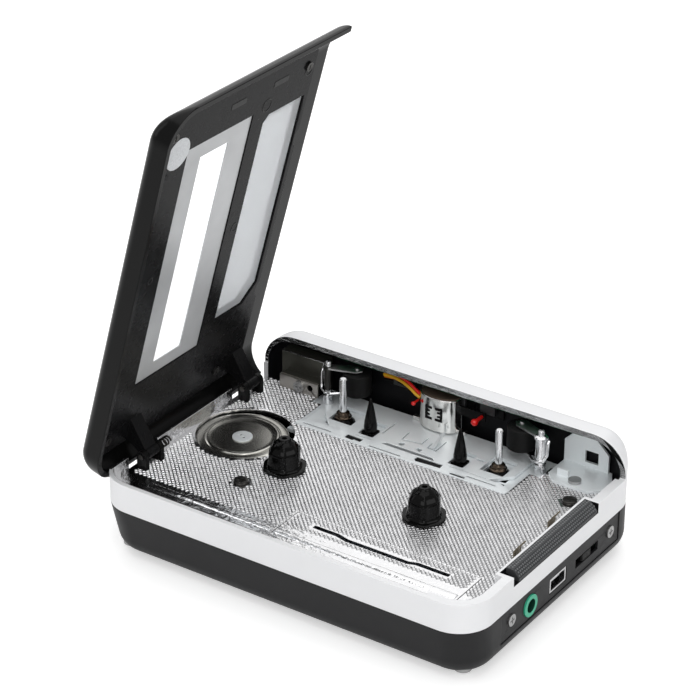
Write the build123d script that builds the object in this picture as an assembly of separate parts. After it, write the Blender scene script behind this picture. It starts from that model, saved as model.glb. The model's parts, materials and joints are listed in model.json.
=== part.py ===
from build123d import *
from math import acos, asin, atan2, cos, degrees, hypot, pi, radians, sin, sqrt
import os

# USB cassette player with a hinged lid, millimetres, +Z up.
# Origin: centre of the whole part's footprint, lid open, on the plane that the rubber feet stand on.
# +X runs from the lid hinge to the socket side, +Y from the front edge to the head side.

# Case
case_length = 114.6
case_width = 81.6
half_length = case_length / 2
half_width = case_width / 2
plan_radius = 9.5
floor_z = 0.6
floor_wall = 1.6
tray_wall = 2.0
tray_edge_round = 5.5
left_taper = 2.2
front_taper = 1.6
parting_z = 14.0
band_top_z = 22.0
band_wall = 2.6
front_rim = 1.3
front_rim_drop = 2.2
front_rim_x1 = half_length - 13.3
roof_top_z = 32.0
roof_wall = 1.6
roof_reach = 7.8
roof_front_y = half_width - roof_reach
roof_end_radius = 10.0
roof_back_round = 4.0
seam_gap = 0.05
left_end_x = -half_length + 2.3
left_sill_z = 17.0
left_cut_x = -half_length + 3.35
left_cut_front_y = -half_width + 1.1

# Deck
deck_top_z = 18.0
deck_thick = 1.2
deck_gap = 0.25
rim_plate_thick = 0.8
rim_plate_top_z = 21.9
rim_front_y0 = -half_width + 4.8
rim_front_y1 = -half_width + 11.8
rim_back_y0 = -17.0
rim_back_y1 = 15.6
mechanism_x0 = -32.4
mechanism_x1 = 32.4
mechanism_y0 = roof_front_y - 17.4
mechanism_wing = 3.0
mechanism_wing_y = roof_front_y - 5.4

# Reels, capstans and guides
mid_x = 0.3
reel_pitch = 42.5
reel_y = -half_width + 35.3
reel_top_z = 27.0
reel_flange_radius = 5.9
reel_core_radius = 3.9
reel_rib_reach = 0.9
reel_rib_width = 1.1
reel_rib_count = 6
reel_neck_radius = 3.2
reel_axle_radius = 0.9
reel_gear_radius = 5.6
reel_gear_teeth = 28
capstan_pitch = 48.2
capstan_y = roof_front_y - 7.6
capstan_radius = 1.0
capstan_top_z = 29.5
capstan_bush_radius = 2.4
bush_low_z = 14.4
bush_top_z = 19.8
guide_pitch = 27.8
guide_y = roof_front_y - 9.8
guide_top_z = 27.7
run_clear = 0.05

# Drive
flywheel_radius = 12.4
flywheel_low_z = 3.2
flywheel_height = 4.2
motor_x = -half_length + 16.7
motor_y = roof_front_y - 30.0
motor_radius = 12.3
motor_low_z = 7.8
motor_top_z = 17.6
motor_hole_radius = 13.1
motor_hole_shift = 0.5
pulley_radius = 3.0
belt_thick = 0.7
belt_low_z = 4.4
belt_height = 1.8

# Head, pinch arms and their carriage
chassis_top_z = 16.8
chassis_thick = 1.2
carriage_thick = 1.0
carriage_gap = 0.1
carriage_travel = 2.5
head_width = 12.0
head_face_y = roof_front_y - 1.0
head_depth = 4.6
head_top_z = 28.8
pinch_pin_x = 33.0
pinch_pin_y = roof_front_y - 1.6
pinch_pin_radius = 0.9
pinch_pin_top_z = 29.4
roller_x = 25.6
roller_y = roof_front_y + 1.3
roller_radius = 3.9
roller_low_z = 20.9
roller_height = 6.2
pinch_arm_thick = 0.8

# Battery bay
cell_radius = 7.05
cell_length = 50.2
bay_x1 = half_length - 9.3
bay_x0 = bay_x1 - cell_length - 3.8
bay_y0 = -half_width + 2.6
bay_y1 = bay_y0 + 28.6
bay_wall = 0.9
cover_y1 = -half_width + 19.8
cover_gap = 0.2
cover_slot_y = cover_y1 - 3.4
cover_slot_x0 = bay_x0 + 7.3
cover_slot_x1 = bay_x1 - 7.1
cover_slot_width = 1.3
cover_slot_left = 7.0
cover_slot_ramp_left = 3.5
cover_slot_right = 9.3
cover_slot_ramp_right = 2.2
cover_slot_jog = 0.8

# Sockets on the right side
port_z = 9.4
port_screw_z = 10.2
jack_y = -13.2
jack_bore_radius = 1.8
usb_y = 0.3
switch_y = 14.5
board_top_z = 6.2
board_thick = 1.2
board_wheel_gap = 3.2
panel_y0 = -half_width + 13.8
panel_y1 = half_width - 10.2
port_screw_ys = (panel_y0 + 4.8, panel_y1 - 4.6)
panel_z0 = 5.6
panel_thick = 0.8

# Latch slider and control buttons
latch_y0 = -19.2
latch_y1 = 18.6
latch_travel = 2.2
latch_slot_depth = 1.5
latch_inner_x = half_length - 3.9
latch_edge_z = 20.3
latch_edge_thick = 1.0
latch_slope_x = half_length - 1.9
latch_lip = 0.8
button_xs = (-13.2, -4.2, 4.8, 13.8)
button_width = 6.6
button_low_z = 24.6
button_high_z = 28.6
button_proud = 0.5
button_travel = 0.35

# Lid, drawn closed and then turned to the open pose
lid_open_deg = 74.5
hinge_x = -half_length + 6.5
hinge_z = 21.8
hinge_pin_radius = 0.7
knuckle_radius = 1.5
lid_x0 = -half_length + 1.0
lid_x1 = half_length - 1.1
lid_back_y = roof_front_y - 1.0
lid_front_round = 3.0
lid_wall = 1.6
lid_rim_z = 25.4
lens_z = 29.0
frame_low_z = 28.4
frame_x0 = -half_length + 6.9
frame_x1 = half_length - 5.8
frame_y0 = -half_width + 2.6
frame_y1 = roof_front_y - 9.3
window_x0 = -31.5
window_x1 = 40.5
window_y0 = -26.7
window_y1 = -0.5
clear_x0 = -27.4
clear_x1 = 35.8
clear_y0 = -20.1
clear_y1 = -8.9
head_window_x0 = -26.0
head_window_x1 = 37.9
head_window_y0 = frame_y1 - 18.7
head_window_y1 = frame_y1 - 1.7
window_chamfer = 5.0
window_small_chamfer = 2.0
lens_gap = 0.1
lens_border = 2.0
front_arm_y = (-half_width + 15.6, -half_width + 20.0)
back_arm_y = (roof_front_y - 14.4, roof_front_y - 10.0)
ear_gap = 0.2
ear_thick = 1.4

# Fixings
case_screw_xs = (-half_length + 8.8, half_length - 5.8)
case_screw_points = [(x, sy * (half_width - 6.2)) for x in case_screw_xs for sy in (-1, 1)]
case_screw_radius = 1.1
column_radius = 2.5
column_top_z = 9.6
foot_xs = (-half_length + 15.6, half_length - 14.3)
foot_points = [(x, sy * (half_width - 12.2)) for x in foot_xs for sy in (-1, 1)]
foot_radius = 4.0
foot_recess = 0.7
deck_screw_points = ((half_length - 9.5, 21.4), (-26.2, -17.3))
leaf_points = ((half_length - 7.1, -7.9), (half_length - 7.1, 8.6))
board_post_points = ((half_length - 14.3, -5.0), (half_length - 14.3, 16.0))
button_board_z = 29.35
left_screw_x = -half_length + 16.4
left_screw_z = 20.1

# The case is drawn about its own centre, and the open lid moves the centre of the whole part
frame_shift_x = 1.265
frame_shift_y = -0.25

left_wall = left_cut_x - left_end_x
floor_top_z = floor_z + floor_wall
deck_low_z = deck_top_z - deck_thick
band_inner_y = half_width - band_wall
reel_xs = (mid_x - reel_pitch / 2, mid_x + reel_pitch / 2)
capstan_xs = (mid_x - capstan_pitch / 2, mid_x + capstan_pitch / 2)
guide_xs = (mid_x - guide_pitch / 2, mid_x + guide_pitch / 2)
board_x0 = capstan_xs[1] + flywheel_radius + board_wheel_gap
carriage_low_z = chassis_top_z + carriage_gap
carriage_top_z = carriage_low_z + carriage_thick
pinch_pin_xs = (mid_x - pinch_pin_x, mid_x + pinch_pin_x)
roller_xs = (mid_x - roller_x, mid_x + roller_x)
cell_z = floor_top_z + 0.1 + cell_radius
cell_ys = (bay_y0 + 0.1 + cell_radius, bay_y0 + 0.3 + 3 * cell_radius)
switch_front_y = half_width - roof_wall - 0.75 - button_travel - 0.1
side_names = ("left", "right")


def block(x0, x1, y0, y1, z0, z1):
    """Axis-aligned block between two corners."""
    size = (x1 - x0, y1 - y0, z1 - z0)
    middle = ((x0 + x1) / 2, (y0 + y1) / 2, (z0 + z1) / 2)
    return Pos(*middle) * Box(*size)


def disc(x, y, radius, z0, z1):
    """Upright cylinder."""
    return Pos(x, y, (z0 + z1) / 2) * Cylinder(radius, z1 - z0)


def ring(x, y, outer, inner, z0, z1):
    """Upright tube."""
    return disc(x, y, outer, z0, z1) - disc(x, y, inner, z0 - 1, z1 + 1)


def bar_x(y, z, radius, x0, x1):
    """Cylinder along X."""
    return Pos((x0 + x1) / 2, y, z) * Rot(0, 90, 0) * Cylinder(radius, x1 - x0)


def bar_y(x, z, radius, y0, y1):
    """Cylinder along Y."""
    return Pos(x, (y0 + y1) / 2, z) * Rot(90, 0, 0) * Cylinder(radius, y1 - y0)


def slab(points, z0, z1):
    """Upright prism on a plan outline."""
    return Pos(0, 0, z0) * extrude(make_face(Polyline(*points, close=True)), z1 - z0)


def side_slab(points, y0, y1):
    """Prism along Y on an outline given as x and z."""
    outline = [(x, y0, z) for x, z in points]
    face = make_face(Polyline(*outline, close=True))
    return extrude(face, y1 - y0, dir=(0, 1, 0))


def rounded_plan(inset, z0, z1, left_inset=None):
    """Prism on the case outline, drawn in by an inset, with its own inset at the left end."""
    radius = max(plan_radius - inset, 0.5)
    x0 = left_end_x + (inset if left_inset is None else left_inset)
    x1 = half_length - inset
    face = RectangleRounded(x1 - x0, case_width - 2 * inset, radius)
    return Pos((x0 + x1) / 2, 0, z0) * extrude(face, z1 - z0)


def tray_outline(inset, z):
    """Outline of the lower shell at a height, which tapers at the left and the front."""
    share = (parting_z - z) / (parting_z - floor_z)
    x0, x1 = left_end_x + left_taper * share + inset, half_length - inset
    y0, y1 = -half_width + front_taper * share + inset, half_width - inset
    face = RectangleRounded(x1 - x0, y1 - y0, plan_radius - inset)
    return Pos((x0 + x1) / 2, (y0 + y1) / 2, z) * face


def prism_y(points, y0, y1):
    """Prism along Y on an outline of (x, z) points."""
    outline = Polyline(*[(x, y0, z) for x, z in points], close=True)
    return extrude(make_face(outline), y1 - y0, dir=(0, 1, 0))


def arched(inset, x0, x1, y0, y1, z0):
    """Prism along Y whose top has large rounds at both ends, drawn in by an inset."""
    top = roof_top_z - inset
    radius = roof_end_radius - inset
    low, high = x0 + inset, x1 - inset
    arc_mid = radius * (1 - cos(pi / 4))
    left = Line((low, y0, z0), (low, y0, top - radius))
    left_arc = ThreePointArc(left @ 1, (low + arc_mid, y0, top - arc_mid), (low + radius, y0, top))
    roof = Line(left_arc @ 1, (high - radius, y0, top))
    right_arc = ThreePointArc(roof @ 1, (high - arc_mid, y0, top - arc_mid), (high, y0, top - radius))
    right = Line(right_arc @ 1, (high, y0, z0))
    sill = Line(right @ 1, left @ 0)
    face = make_face([left, left_arc, roof, right_arc, right, sill])
    return extrude(face, y1 - y0, dir=(0, 1, 0))


def screw(x, y, head_radius, head_z0, head_z1, shank_radius, shank_z):
    """Pan-head screw with a cross recess, head up or down."""
    head = disc(x, y, head_radius, min(head_z0, head_z1), max(head_z0, head_z1))
    shank = disc(x, y, shank_radius, min(head_z0, shank_z), max(head_z0, shank_z))
    depth = 0.35 * (head_z1 - head_z0)
    slot_z = sorted((head_z1, head_z1 - depth))
    cross = block(x - 1.1, x + 1.1, y - 0.25, y + 0.25, *slot_z)
    cross += block(x - 0.25, x + 0.25, y - 1.1, y + 1.1, *slot_z)
    return head + shank - cross


def flip_open(shape):
    """Turn a closed lid piece to the open pose about the hinge pin."""
    hinge = Axis((hinge_x, 0, hinge_z), (0, -1, 0))
    return shape.rotate(hinge, lid_open_deg)


def make_bottom_tray():
    """Black lower shell with floor bosses, battery walls and the socket opening."""
    outer = loft([tray_outline(0, floor_z), tray_outline(0, parting_z)])
    floor_edges = outer.edges().group_by(Axis.Z)[0]
    outer = fillet(floor_edges, tray_edge_round)
    inner = loft([tray_outline(tray_wall, floor_top_z), tray_outline(tray_wall, parting_z + 1)])
    tray = outer - inner
    for x in (bay_x0 - bay_wall, bay_x1):
        tray += block(x, x + bay_wall, bay_y0 - 1, bay_y1, floor_top_z - 0.2, parting_z)
        tray += block(x, x + bay_wall, bay_y0 + 0.3, bay_y1, floor_top_z - 0.2, deck_low_z - 0.3)
    for x, y in case_screw_points:
        tray += disc(x, y, column_radius, floor_z + 0.4, column_top_z)
        tray -= disc(x, y, case_screw_radius + 0.1, floor_z - 1, column_top_z + 1)
        tray -= disc(x, y, 2.3, floor_z - 1, floor_top_z + 0.4)
    for x in reel_xs:
        tray += ring(x, reel_y, 2.2, reel_axle_radius, floor_top_z - 0.2, 11.6)
    for x in capstan_xs:
        tray += ring(x, capstan_y, 2.2, capstan_radius + run_clear, floor_top_z - 0.2, floor_top_z + 0.7)
    tray += ring(motor_x, motor_y, motor_radius + 1.4, motor_radius - 1.6, floor_top_z - 0.2, motor_low_z)
    tray = tray & outer
    tray -= disc(motor_x, motor_y, motor_radius + 0.25, motor_low_z, parting_z + 1)
    belt_side = motor_y - pulley_radius - 2.0
    belt_x1 = motor_x + 2 * motor_radius
    belt_y1 = 2 * motor_radius
    tray -= block(motor_x, belt_x1, belt_side, belt_y1, floor_top_z, motor_low_z + 1)
    tray -= block(motor_x - pulley_radius - 3, motor_x + 1, motor_y, belt_y1, floor_top_z, motor_low_z + 1)
    for x, y in foot_points:
        tray -= disc(x, y, foot_radius, floor_z - 1, floor_z + foot_recess)
    window_x = half_length - tray_wall - 0.5
    tray -= block(window_x, half_length + 1, panel_y0, panel_y1, panel_z0, parting_z + 1)
    return tray


def make_port_panel():
    """Dark insert on the right side that frames the sockets."""
    x1 = half_length - 0.25
    x0 = x1 - panel_thick
    panel = block(x0, x1, panel_y0 + 0.15, panel_y1 - 0.15, panel_z0 + 0.15, parting_z - 0.1)
    panel -= bar_x(jack_y, port_z, 3.05, x0 - 1, x1 + 1)
    panel -= block(x0 - 1, x1 + 1, usb_y - 4.1, usb_y + 4.1, port_z - 2.1, port_z + 2.1)
    panel -= block(x0 - 1, x1 + 1, switch_y - 5.6, switch_y + 5.6, port_z - 1.3, port_z + 1.3)
    for y in port_screw_ys:
        panel -= bar_x(y, port_screw_z, 0.85, x0 - 1, x1 + 1)
    rail_x = half_length - tray_wall - 0.45
    for y in (panel_y0 + 2.4, panel_y1 - 2.4):
        panel += block(rail_x, x0, y - 2.2, y + 2.2, panel_z0 + 0.2, panel_z0 + 2.6)
    return panel


def make_port_screws():
    """Two small cross-head screws that hold the socket insert."""
    group = []
    x1 = half_length - 0.25
    for y in port_screw_ys:
        body = bar_x(y, port_screw_z, 0.75, x1 - 3.0, x1)
        body += bar_x(y, port_screw_z, 1.6, x1, x1 + 0.45)
        body -= block(x1 + 0.2, x1 + 1, y - 0.9, y + 0.9, port_screw_z - 0.2, port_screw_z + 0.2)
        body -= block(x1 + 0.2, x1 + 1, y - 0.2, y + 0.2, port_screw_z - 0.9, port_screw_z + 0.9)
        group.append(body)
    return Compound(children=group)


def make_side_band():
    """Silver band round the case, with the roof over the head side."""
    low = parting_z + seam_gap
    outer = rounded_plan(0, low, band_top_z)
    inner = rounded_plan(band_wall, low - 1, band_top_z + 1, left_wall)
    band = outer - inner
    roof_block = arched(0, left_end_x, half_length, roof_front_y, half_width, low)
    roof_block = roof_block & rounded_plan(0, low, roof_top_z)
    back_edges = roof_block.edges().filter_by(Axis.X).group_by(Axis.Z)[-1].sort_by(Axis.Y)
    roof_block = fillet([back_edges[-1]], roof_back_round)
    hollow_x0 = left_cut_x - roof_wall
    hollow = arched(roof_wall, hollow_x0, half_length, roof_front_y - 1, half_width - roof_wall, low - 1)
    hollow = hollow & rounded_plan(roof_wall, low - 1, roof_top_z, left_wall)
    band = band + roof_block - hollow
    cut_x = left_cut_x
    cut_y1 = roof_front_y - 0.5
    band -= block(-half_length - 1, cut_x, left_cut_front_y, cut_y1, left_sill_z, band_top_z + 1)
    sill_y = half_width - plan_radius
    band += block(left_end_x + 0.2, cut_x, -sill_y, sill_y, low, left_sill_z)
    plate_edge = cut_x + rim_plate_thick + 0.1
    band -= block(cut_x - 0.1, plate_edge, rim_front_y0 - 0.1, 0, deck_low_z - 0.1, band_top_z + 1)
    thin = rounded_plan(front_rim, band_top_z - front_rim_drop, band_top_z + 1, left_wall)
    band -= thin & block(left_cut_x, front_rim_x1, -half_width, -half_width + plan_radius, 0, band_top_z + 1)
    slot_y0, slot_y1 = latch_y0 - latch_travel - 0.4, latch_y1 + 0.4
    lip_x = latch_inner_x - latch_lip
    band += block(lip_x, half_length - 1, slot_y0 - 1.2, slot_y1 + 1.2, deck_top_z + 0.1, band_top_z)
    slot = [
        (latch_inner_x - 0.1, band_top_z + 1), (latch_inner_x - 0.1, band_top_z - latch_slot_depth),
        (half_length - 1.2, latch_edge_z - latch_edge_thick),
        (half_length + 1, latch_edge_z - latch_edge_thick),
        (half_length + 1, band_top_z + 1),
    ]
    band -= prism_y(slot, slot_y0, slot_y1)
    ledge_z = deck_low_z - 1.4
    shelf = rounded_plan(band_wall - 0.2, ledge_z, deck_low_z, left_wall)
    shelf -= rounded_plan(band_wall + 1.6, ledge_z - 1, deck_low_z + 1, left_wall + 0.8)
    shelf -= block(bay_x0 - 1.5, half_length, -half_width, bay_y1, ledge_z - 1, deck_low_z + 1)
    shelf -= block(-12, 12, roof_front_y - 3, half_width, ledge_z - 1, deck_low_z + 1)
    shelf -= block(-half_length, left_cut_x, -half_width, half_width, ledge_z - 1, deck_low_z + 1)
    band += shelf & block(-half_length, half_length, -half_width, mechanism_y0 - 4, 0, 40)
    for x, y in case_screw_points:
        reach = disc(x, y, column_radius, column_top_z + 0.05, deck_low_z)
        wall_y = (band_inner_y + 0.3) * (1 if y > 0 else -1)
        web = block(x - 1.2, x + 1.2, min(y, wall_y), max(y, wall_y), low, deck_low_z)
        band += reach + web
        band -= disc(x, y, case_screw_radius + run_clear, column_top_z - 1, deck_low_z - 1.2)
    for x in button_xs:
        band -= block(
            x - button_width / 2 - 0.2, x + button_width / 2 + 0.2, half_width - 4, half_width + 1,
            button_low_z - 0.2, button_high_z + 0.2,
        )
    return band


def make_deck():
    """Bright embossed deck under the cassette, with upturned plates on the hinge side."""
    x0 = left_cut_x
    plan = rounded_plan(band_wall + deck_gap, deck_low_z, deck_top_z, left_wall)
    deck = plan & block(x0, half_length, -half_width, roof_front_y + 0.4, deck_low_z, deck_top_z)
    cut_low, cut_high = deck_low_z - 1, deck_top_z + 1
    wing_x0, wing_x1 = mechanism_x0 - mechanism_wing, mechanism_x1 + mechanism_wing
    deck -= block(mechanism_x0, mechanism_x1, mechanism_y0, half_width, cut_low, cut_high)
    deck -= block(wing_x0, wing_x1, mechanism_wing_y, half_width, cut_low, cut_high)
    inner_x = x0 + rim_plate_thick
    for y0, y1 in ((rim_front_y0, rim_front_y1), (rim_back_y0, rim_back_y1)):
        deck += block(x0, inner_x, y0, y1, deck_low_z, rim_plate_top_z)
    hole_x, hole_y = motor_x + motor_hole_shift, motor_y + motor_hole_shift
    deck -= disc(hole_x, hole_y, motor_hole_radius, cut_low, deck_top_z + 0.01)
    for x in reel_xs:
        deck -= disc(x, reel_y, reel_neck_radius + 0.4, deck_low_z - 1, deck_top_z + 1)
    deck -= block(bay_x0, bay_x1, -half_width, cover_y1, deck_low_z - 1, deck_top_z + 1)
    for x, y in deck_screw_points:
        deck -= disc(x, y, 1.2, deck_low_z - 1, deck_top_z + 1)
        deck -= disc(x, y, 2.2, deck_top_z - 0.6, deck_top_z + 1)
    for x, y in leaf_points:
        deck -= block(x - 1.0, x + 0.5, y - 2.0, y + 2.0, deck_low_z - 1, deck_top_z + 1)
    return deck


def make_deck_screws():
    """Two cross-head screws that hold the deck."""
    group = []
    for x, y in deck_screw_points:
        group.append(screw(x, y, 2.1, deck_top_z - 0.6, deck_top_z + 0.4, 1.1, deck_low_z - 3.0))
    return Compound(children=group)


def make_leaf_springs():
    """Two bent leaf springs that steady the cassette's end."""
    group = []
    for x, y in leaf_points:
        profile = [
            (x - 0.5, deck_low_z - 0.5), (x - 0.5, deck_top_z + 2.2), (x + 0.9, deck_top_z + 4.2),
            (x + 1.2, deck_top_z + 4.0), (x - 0.1, deck_top_z + 2.1), (x - 0.1, deck_low_z - 0.5),
        ]
        leaf = side_slab(profile, y - 1.7, y + 1.7)
        leaf += block(x - 0.5, x + 2.4, y - 1.7, y + 1.7, deck_low_z - 0.5, deck_low_z)
        group.append(leaf)
    return Compound(children=group)


def make_battery_cover():
    """Lift-out battery cover, flush with the deck, with its finger slot."""
    x0, x1 = bay_x0 + cover_gap, bay_x1 - cover_gap
    y0 = -band_inner_y + deck_gap
    cover = block(x0, x1, y0, cover_y1 - cover_gap, deck_low_z, deck_top_z)
    half = cover_slot_width / 2
    line = [
        (cover_slot_x0, cover_slot_y), (cover_slot_x0 + cover_slot_left, cover_slot_y),
        (cover_slot_x0 + cover_slot_left + cover_slot_ramp_left, cover_slot_y - cover_slot_jog),
        (cover_slot_x1 - cover_slot_right - cover_slot_ramp_right, cover_slot_y - cover_slot_jog),
        (cover_slot_x1 - cover_slot_right, cover_slot_y), (cover_slot_x1, cover_slot_y),
    ]
    outline = [(x, y - half) for x, y in line] + [(x, y + half) for x, y in reversed(line)]
    return cover - slab(outline, deck_low_z - 1, deck_top_z + 1)


def make_battery_cells():
    """Two plain round cells side by side in the bay."""
    group = []
    x0 = (bay_x0 + bay_x1 - cell_length) / 2
    nub = 1.0
    for i, y in enumerate(cell_ys):
        body = bar_x(y, cell_z, cell_radius, x0 + nub, x0 + cell_length)
        tip_x = x0 + nub
        body += bar_x(y, cell_z, 2.7, tip_x - nub, tip_x)
        if i:
            body = mirror(body, Plane.YZ.offset((bay_x0 + bay_x1) / 2))
        group.append(body)
    return Compound(children=group)


def make_battery_contacts():
    """Sprung contact plates at both ends of the battery bay."""
    group = []
    gap = (bay_x1 - bay_x0 - cell_length) / 2
    for y in cell_ys:
        left = block(bay_x0, bay_x0 + 0.4, y - 4.5, y + 4.5, cell_z - 5, cell_z + 5)
        left += bar_x(y, cell_z, 2.2, bay_x0 + 0.4, bay_x0 + gap)
        right = block(bay_x1 - 0.4, bay_x1, y - 4.5, y + 4.5, cell_z - 5, cell_z + 5)
        right += bar_x(y, cell_z, 2.2, bay_x1 - gap, bay_x1 - 0.4)
        group += [left, right]
    return Compound(children=group)


def make_case_screws():
    """Four long screws from below."""
    group = []
    for x, y in case_screw_points:
        group.append(screw(x, y, 2.2, floor_top_z + 0.4, floor_z + 0.6, case_screw_radius, 14.6))
    return Compound(children=group)


def make_feet():
    """Four round rubber feet in their recesses."""
    group = []
    for x, y in foot_points:
        foot = disc(x, y, foot_radius - 0.1, 0, floor_z + foot_recess)
        foot = fillet(foot.edges().group_by(Axis.Z)[0], 0.3)
        group.append(foot)
    return Compound(children=group)


def make_head_chassis():
    """Zinc plate of the tape mechanism, under the opening in the deck."""
    z0, z1 = chassis_top_z - chassis_thick, chassis_top_z
    lap = 1.6
    wing = mechanism_wing + lap
    y1 = half_width - band_wall - 0.4
    plate = block(mechanism_x0 - lap, mechanism_x1 + lap, mechanism_y0 - lap, y1, z0, z1)
    plate += block(mechanism_x0 - wing, mechanism_x1 + wing, mechanism_wing_y - lap, y1, z0, z1)
    for x in capstan_xs:
        plate -= disc(x, capstan_y, capstan_bush_radius, z0 - 1, z1 + 1)
    for x in guide_xs:
        plate -= disc(x, guide_y, 1.3, z0 - 1, z1 + 1)
    for x in pinch_pin_xs:
        plate -= disc(x, pinch_pin_y, pinch_pin_radius, z0 - 1, z1 + 1)
    for x, y in case_screw_points:
        plate -= disc(x, y, column_radius + 0.4, z0 - 1, z1 + 1)
    return plate


def make_guide_pins():
    """Two black tapered pins that locate the cassette."""
    group = []
    z_base = chassis_top_z
    for x in guide_xs:
        stem = disc(x, guide_y, 1.3, z_base - chassis_thick, z_base)
        collar = disc(x, guide_y, 2.2, z_base, carriage_top_z + 1.4)
        cone_low = carriage_top_z + 1.4
        height = guide_top_z - cone_low
        cone = Pos(x, guide_y, cone_low + height / 2) * Cone(1.9, 0.45, height)
        group.append(stem + collar + cone)
    return Compound(children=group)


def make_capstan_bushes():
    """Two flanged bushes that carry the capstan shafts."""
    group = []
    for x in capstan_xs:
        bore = capstan_radius + run_clear
        group.append(ring(x, capstan_y, capstan_bush_radius, bore, bush_low_z, bush_top_z))
    return Compound(children=group)


def make_carriage():
    """Sliding zinc plate that carries the tape head."""
    z0, z1 = carriage_low_z, carriage_top_z
    x0, x1 = mid_x - 29.4, mid_x + 29.4
    y0, y1 = roof_front_y - 14.1, roof_front_y + 3.4
    outline = [
        (x0, y1), (x0, capstan_y - 0.8), (x0 + 5.2, y0), (mid_x - 9, y0), (mid_x - 7, y0 + 1.7),
        (mid_x + 7, y0 + 1.7), (mid_x + 9, y0), (x1 - 5.2, y0), (x1, capstan_y - 0.8), (x1, y1),
    ]
    plate = slab(outline, z0, z1)
    for x in capstan_xs:
        plate -= block(x - 3.0, x + 3.0, capstan_y - 2.8, capstan_y + 2.8 + carriage_travel, z0 - 1, z1 + 1)
    for x in guide_xs:
        plate -= block(x - 2.6, x + 2.6, guide_y - 2.6, guide_y + 2.6 + carriage_travel, z0 - 1, z1 + 1)
    for x, toward in zip(pinch_pin_xs, (1, -1)):
        near = x + toward * 1.6
        edge = x - toward * 8
        plate -= block(min(near, edge), max(near, edge), pinch_pin_y - 2.8, half_width, z0 - 1, z1 + 1)
    back_y = head_face_y + head_depth
    plate += block(mid_x - 5.4, mid_x + 5.4, back_y - 1.0, back_y + 1.0, z0, z1)
    plate += block(mid_x - 5.4, mid_x + 5.4, back_y, back_y + 1.0, z1, 24.6)
    return plate


def make_tape_head():
    """Tape head in its shield can, with a curved front."""
    x0, x1 = mid_x - head_width / 2, mid_x + head_width / 2
    y0, y1 = head_face_y, head_face_y + head_depth
    head = block(x0, x1, y0 + 1.6, y1, carriage_top_z, head_top_z)
    nose_radius = 5.6
    nose = disc(mid_x, y0 + nose_radius, nose_radius, carriage_top_z + 1.4, head_top_z - 1.4)
    nose &= block(x0, x1, y0 - 1, y0 + 1.7, 0, 40)
    head += nose
    for side in (-1, 1):
        arm_x = mid_x + side * (head_width / 2 - 0.3)
        head += block(
            min(arm_x, arm_x + side * 2.6), max(arm_x, arm_x + side * 2.6), y0 + 2.4, y1,
            carriage_top_z, carriage_top_z + 1.4,
        )
    return head


def make_flywheel(x):
    """Brass-bright flywheel with a shallow web."""
    z0, z1 = flywheel_low_z, flywheel_low_z + flywheel_height
    wheel = disc(x, capstan_y, flywheel_radius, z0, z1)
    wheel -= ring(x, capstan_y, flywheel_radius - 2.6, 3.4, z1 - 1.4, z1 + 1)
    wheel -= disc(x, capstan_y, capstan_radius, z0 - 1, z1 + 1)
    return wheel


def make_capstan(x):
    """Polished capstan shaft."""
    shaft = disc(x, capstan_y, capstan_radius, floor_top_z + 0.1, capstan_top_z)
    return chamfer(shaft.edges().group_by(Axis.Z)[-1], 0.25)


def make_spindle(x):
    """Glossy black reel spindle: ribbed bullet on a flange."""
    z_flange = deck_top_z + 0.35
    flange = disc(x, reel_y, reel_flange_radius, z_flange, z_flange + 0.9)
    neck = disc(x, reel_y, reel_neck_radius, 12.2, z_flange)
    collar = disc(x, reel_y, reel_core_radius + 0.7, z_flange, z_flange + 2.0)
    core_top = reel_top_z - 3.0
    core = disc(x, reel_y, reel_core_radius, z_flange, core_top)
    nose = Pos(x, reel_y, core_top) * Sphere(reel_core_radius)
    nose &= block(x - 9, x + 9, reel_y - 9, reel_y + 9, core_top, reel_top_z)
    spindle = flange + neck + collar + core + nose
    for i in range(reel_rib_count):
        rib = block(
            reel_core_radius - 0.6, reel_core_radius + reel_rib_reach,
            -reel_rib_width / 2, reel_rib_width / 2,
            z_flange + 0.9, core_top - 0.6,
        )
        spindle += Pos(x, reel_y, 0) * Rot(0, 0, i * 360 / reel_rib_count) * rib
    return spindle - disc(x, reel_y, reel_axle_radius + run_clear, 0, 24.2)


def make_reel_gear(x):
    """Toothed wheel pressed on the spindle neck under the deck."""
    z0, z1 = 14.1, 15.6
    root = reel_gear_radius - 0.9
    pitch = 2 * pi / reel_gear_teeth
    tip = reel_gear_radius
    tooth = ((0.0, root), (0.25, root), (0.4, tip), (0.65, tip), (0.8, root))
    points = []
    for i in range(reel_gear_teeth):
        for share, radius in tooth:
            a = (i + share) * pitch
            points.append((x + radius * cos(a), reel_y + radius * sin(a)))
    return slab(points, z0, z1) - disc(x, reel_y, reel_neck_radius, z0 - 1, z1 + 1)


def make_reel_axles():
    """Two fixed steel pins that the spindles turn on."""
    group = []
    for x in reel_xs:
        group.append(disc(x, reel_y, reel_axle_radius, floor_top_z + 0.4, 23.6))
    return Compound(children=group)


def make_motor():
    """Flat drive motor in a nickel can with a pressed ring and a centre cap."""
    can = disc(motor_x, motor_y, motor_radius, motor_low_z, motor_top_z)
    can = fillet(can.edges().group_by(Axis.Z)[-1], 0.9)
    can -= ring(motor_x, motor_y, motor_radius - 2.6, 2.8, motor_top_z - 0.45, motor_top_z + 1)
    can += disc(motor_x, motor_y, 2.6, motor_top_z - 0.6, motor_top_z + 0.15)
    return can - disc(motor_x, motor_y, 1.05, motor_low_z - 1, motor_low_z + 6)


def make_motor_pulley():
    """Motor shaft with its belt pulley."""
    shaft = disc(motor_x, motor_y, 1.0, floor_top_z + 0.6, motor_low_z + 5)
    pulley = disc(motor_x, motor_y, pulley_radius, belt_low_z - 0.2, belt_low_z + belt_height + 0.2)
    lip = ring(motor_x, motor_y, pulley_radius + 0.9, 0.5, belt_low_z - 0.9, belt_low_z - 0.2)
    return shaft + pulley + lip


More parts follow.
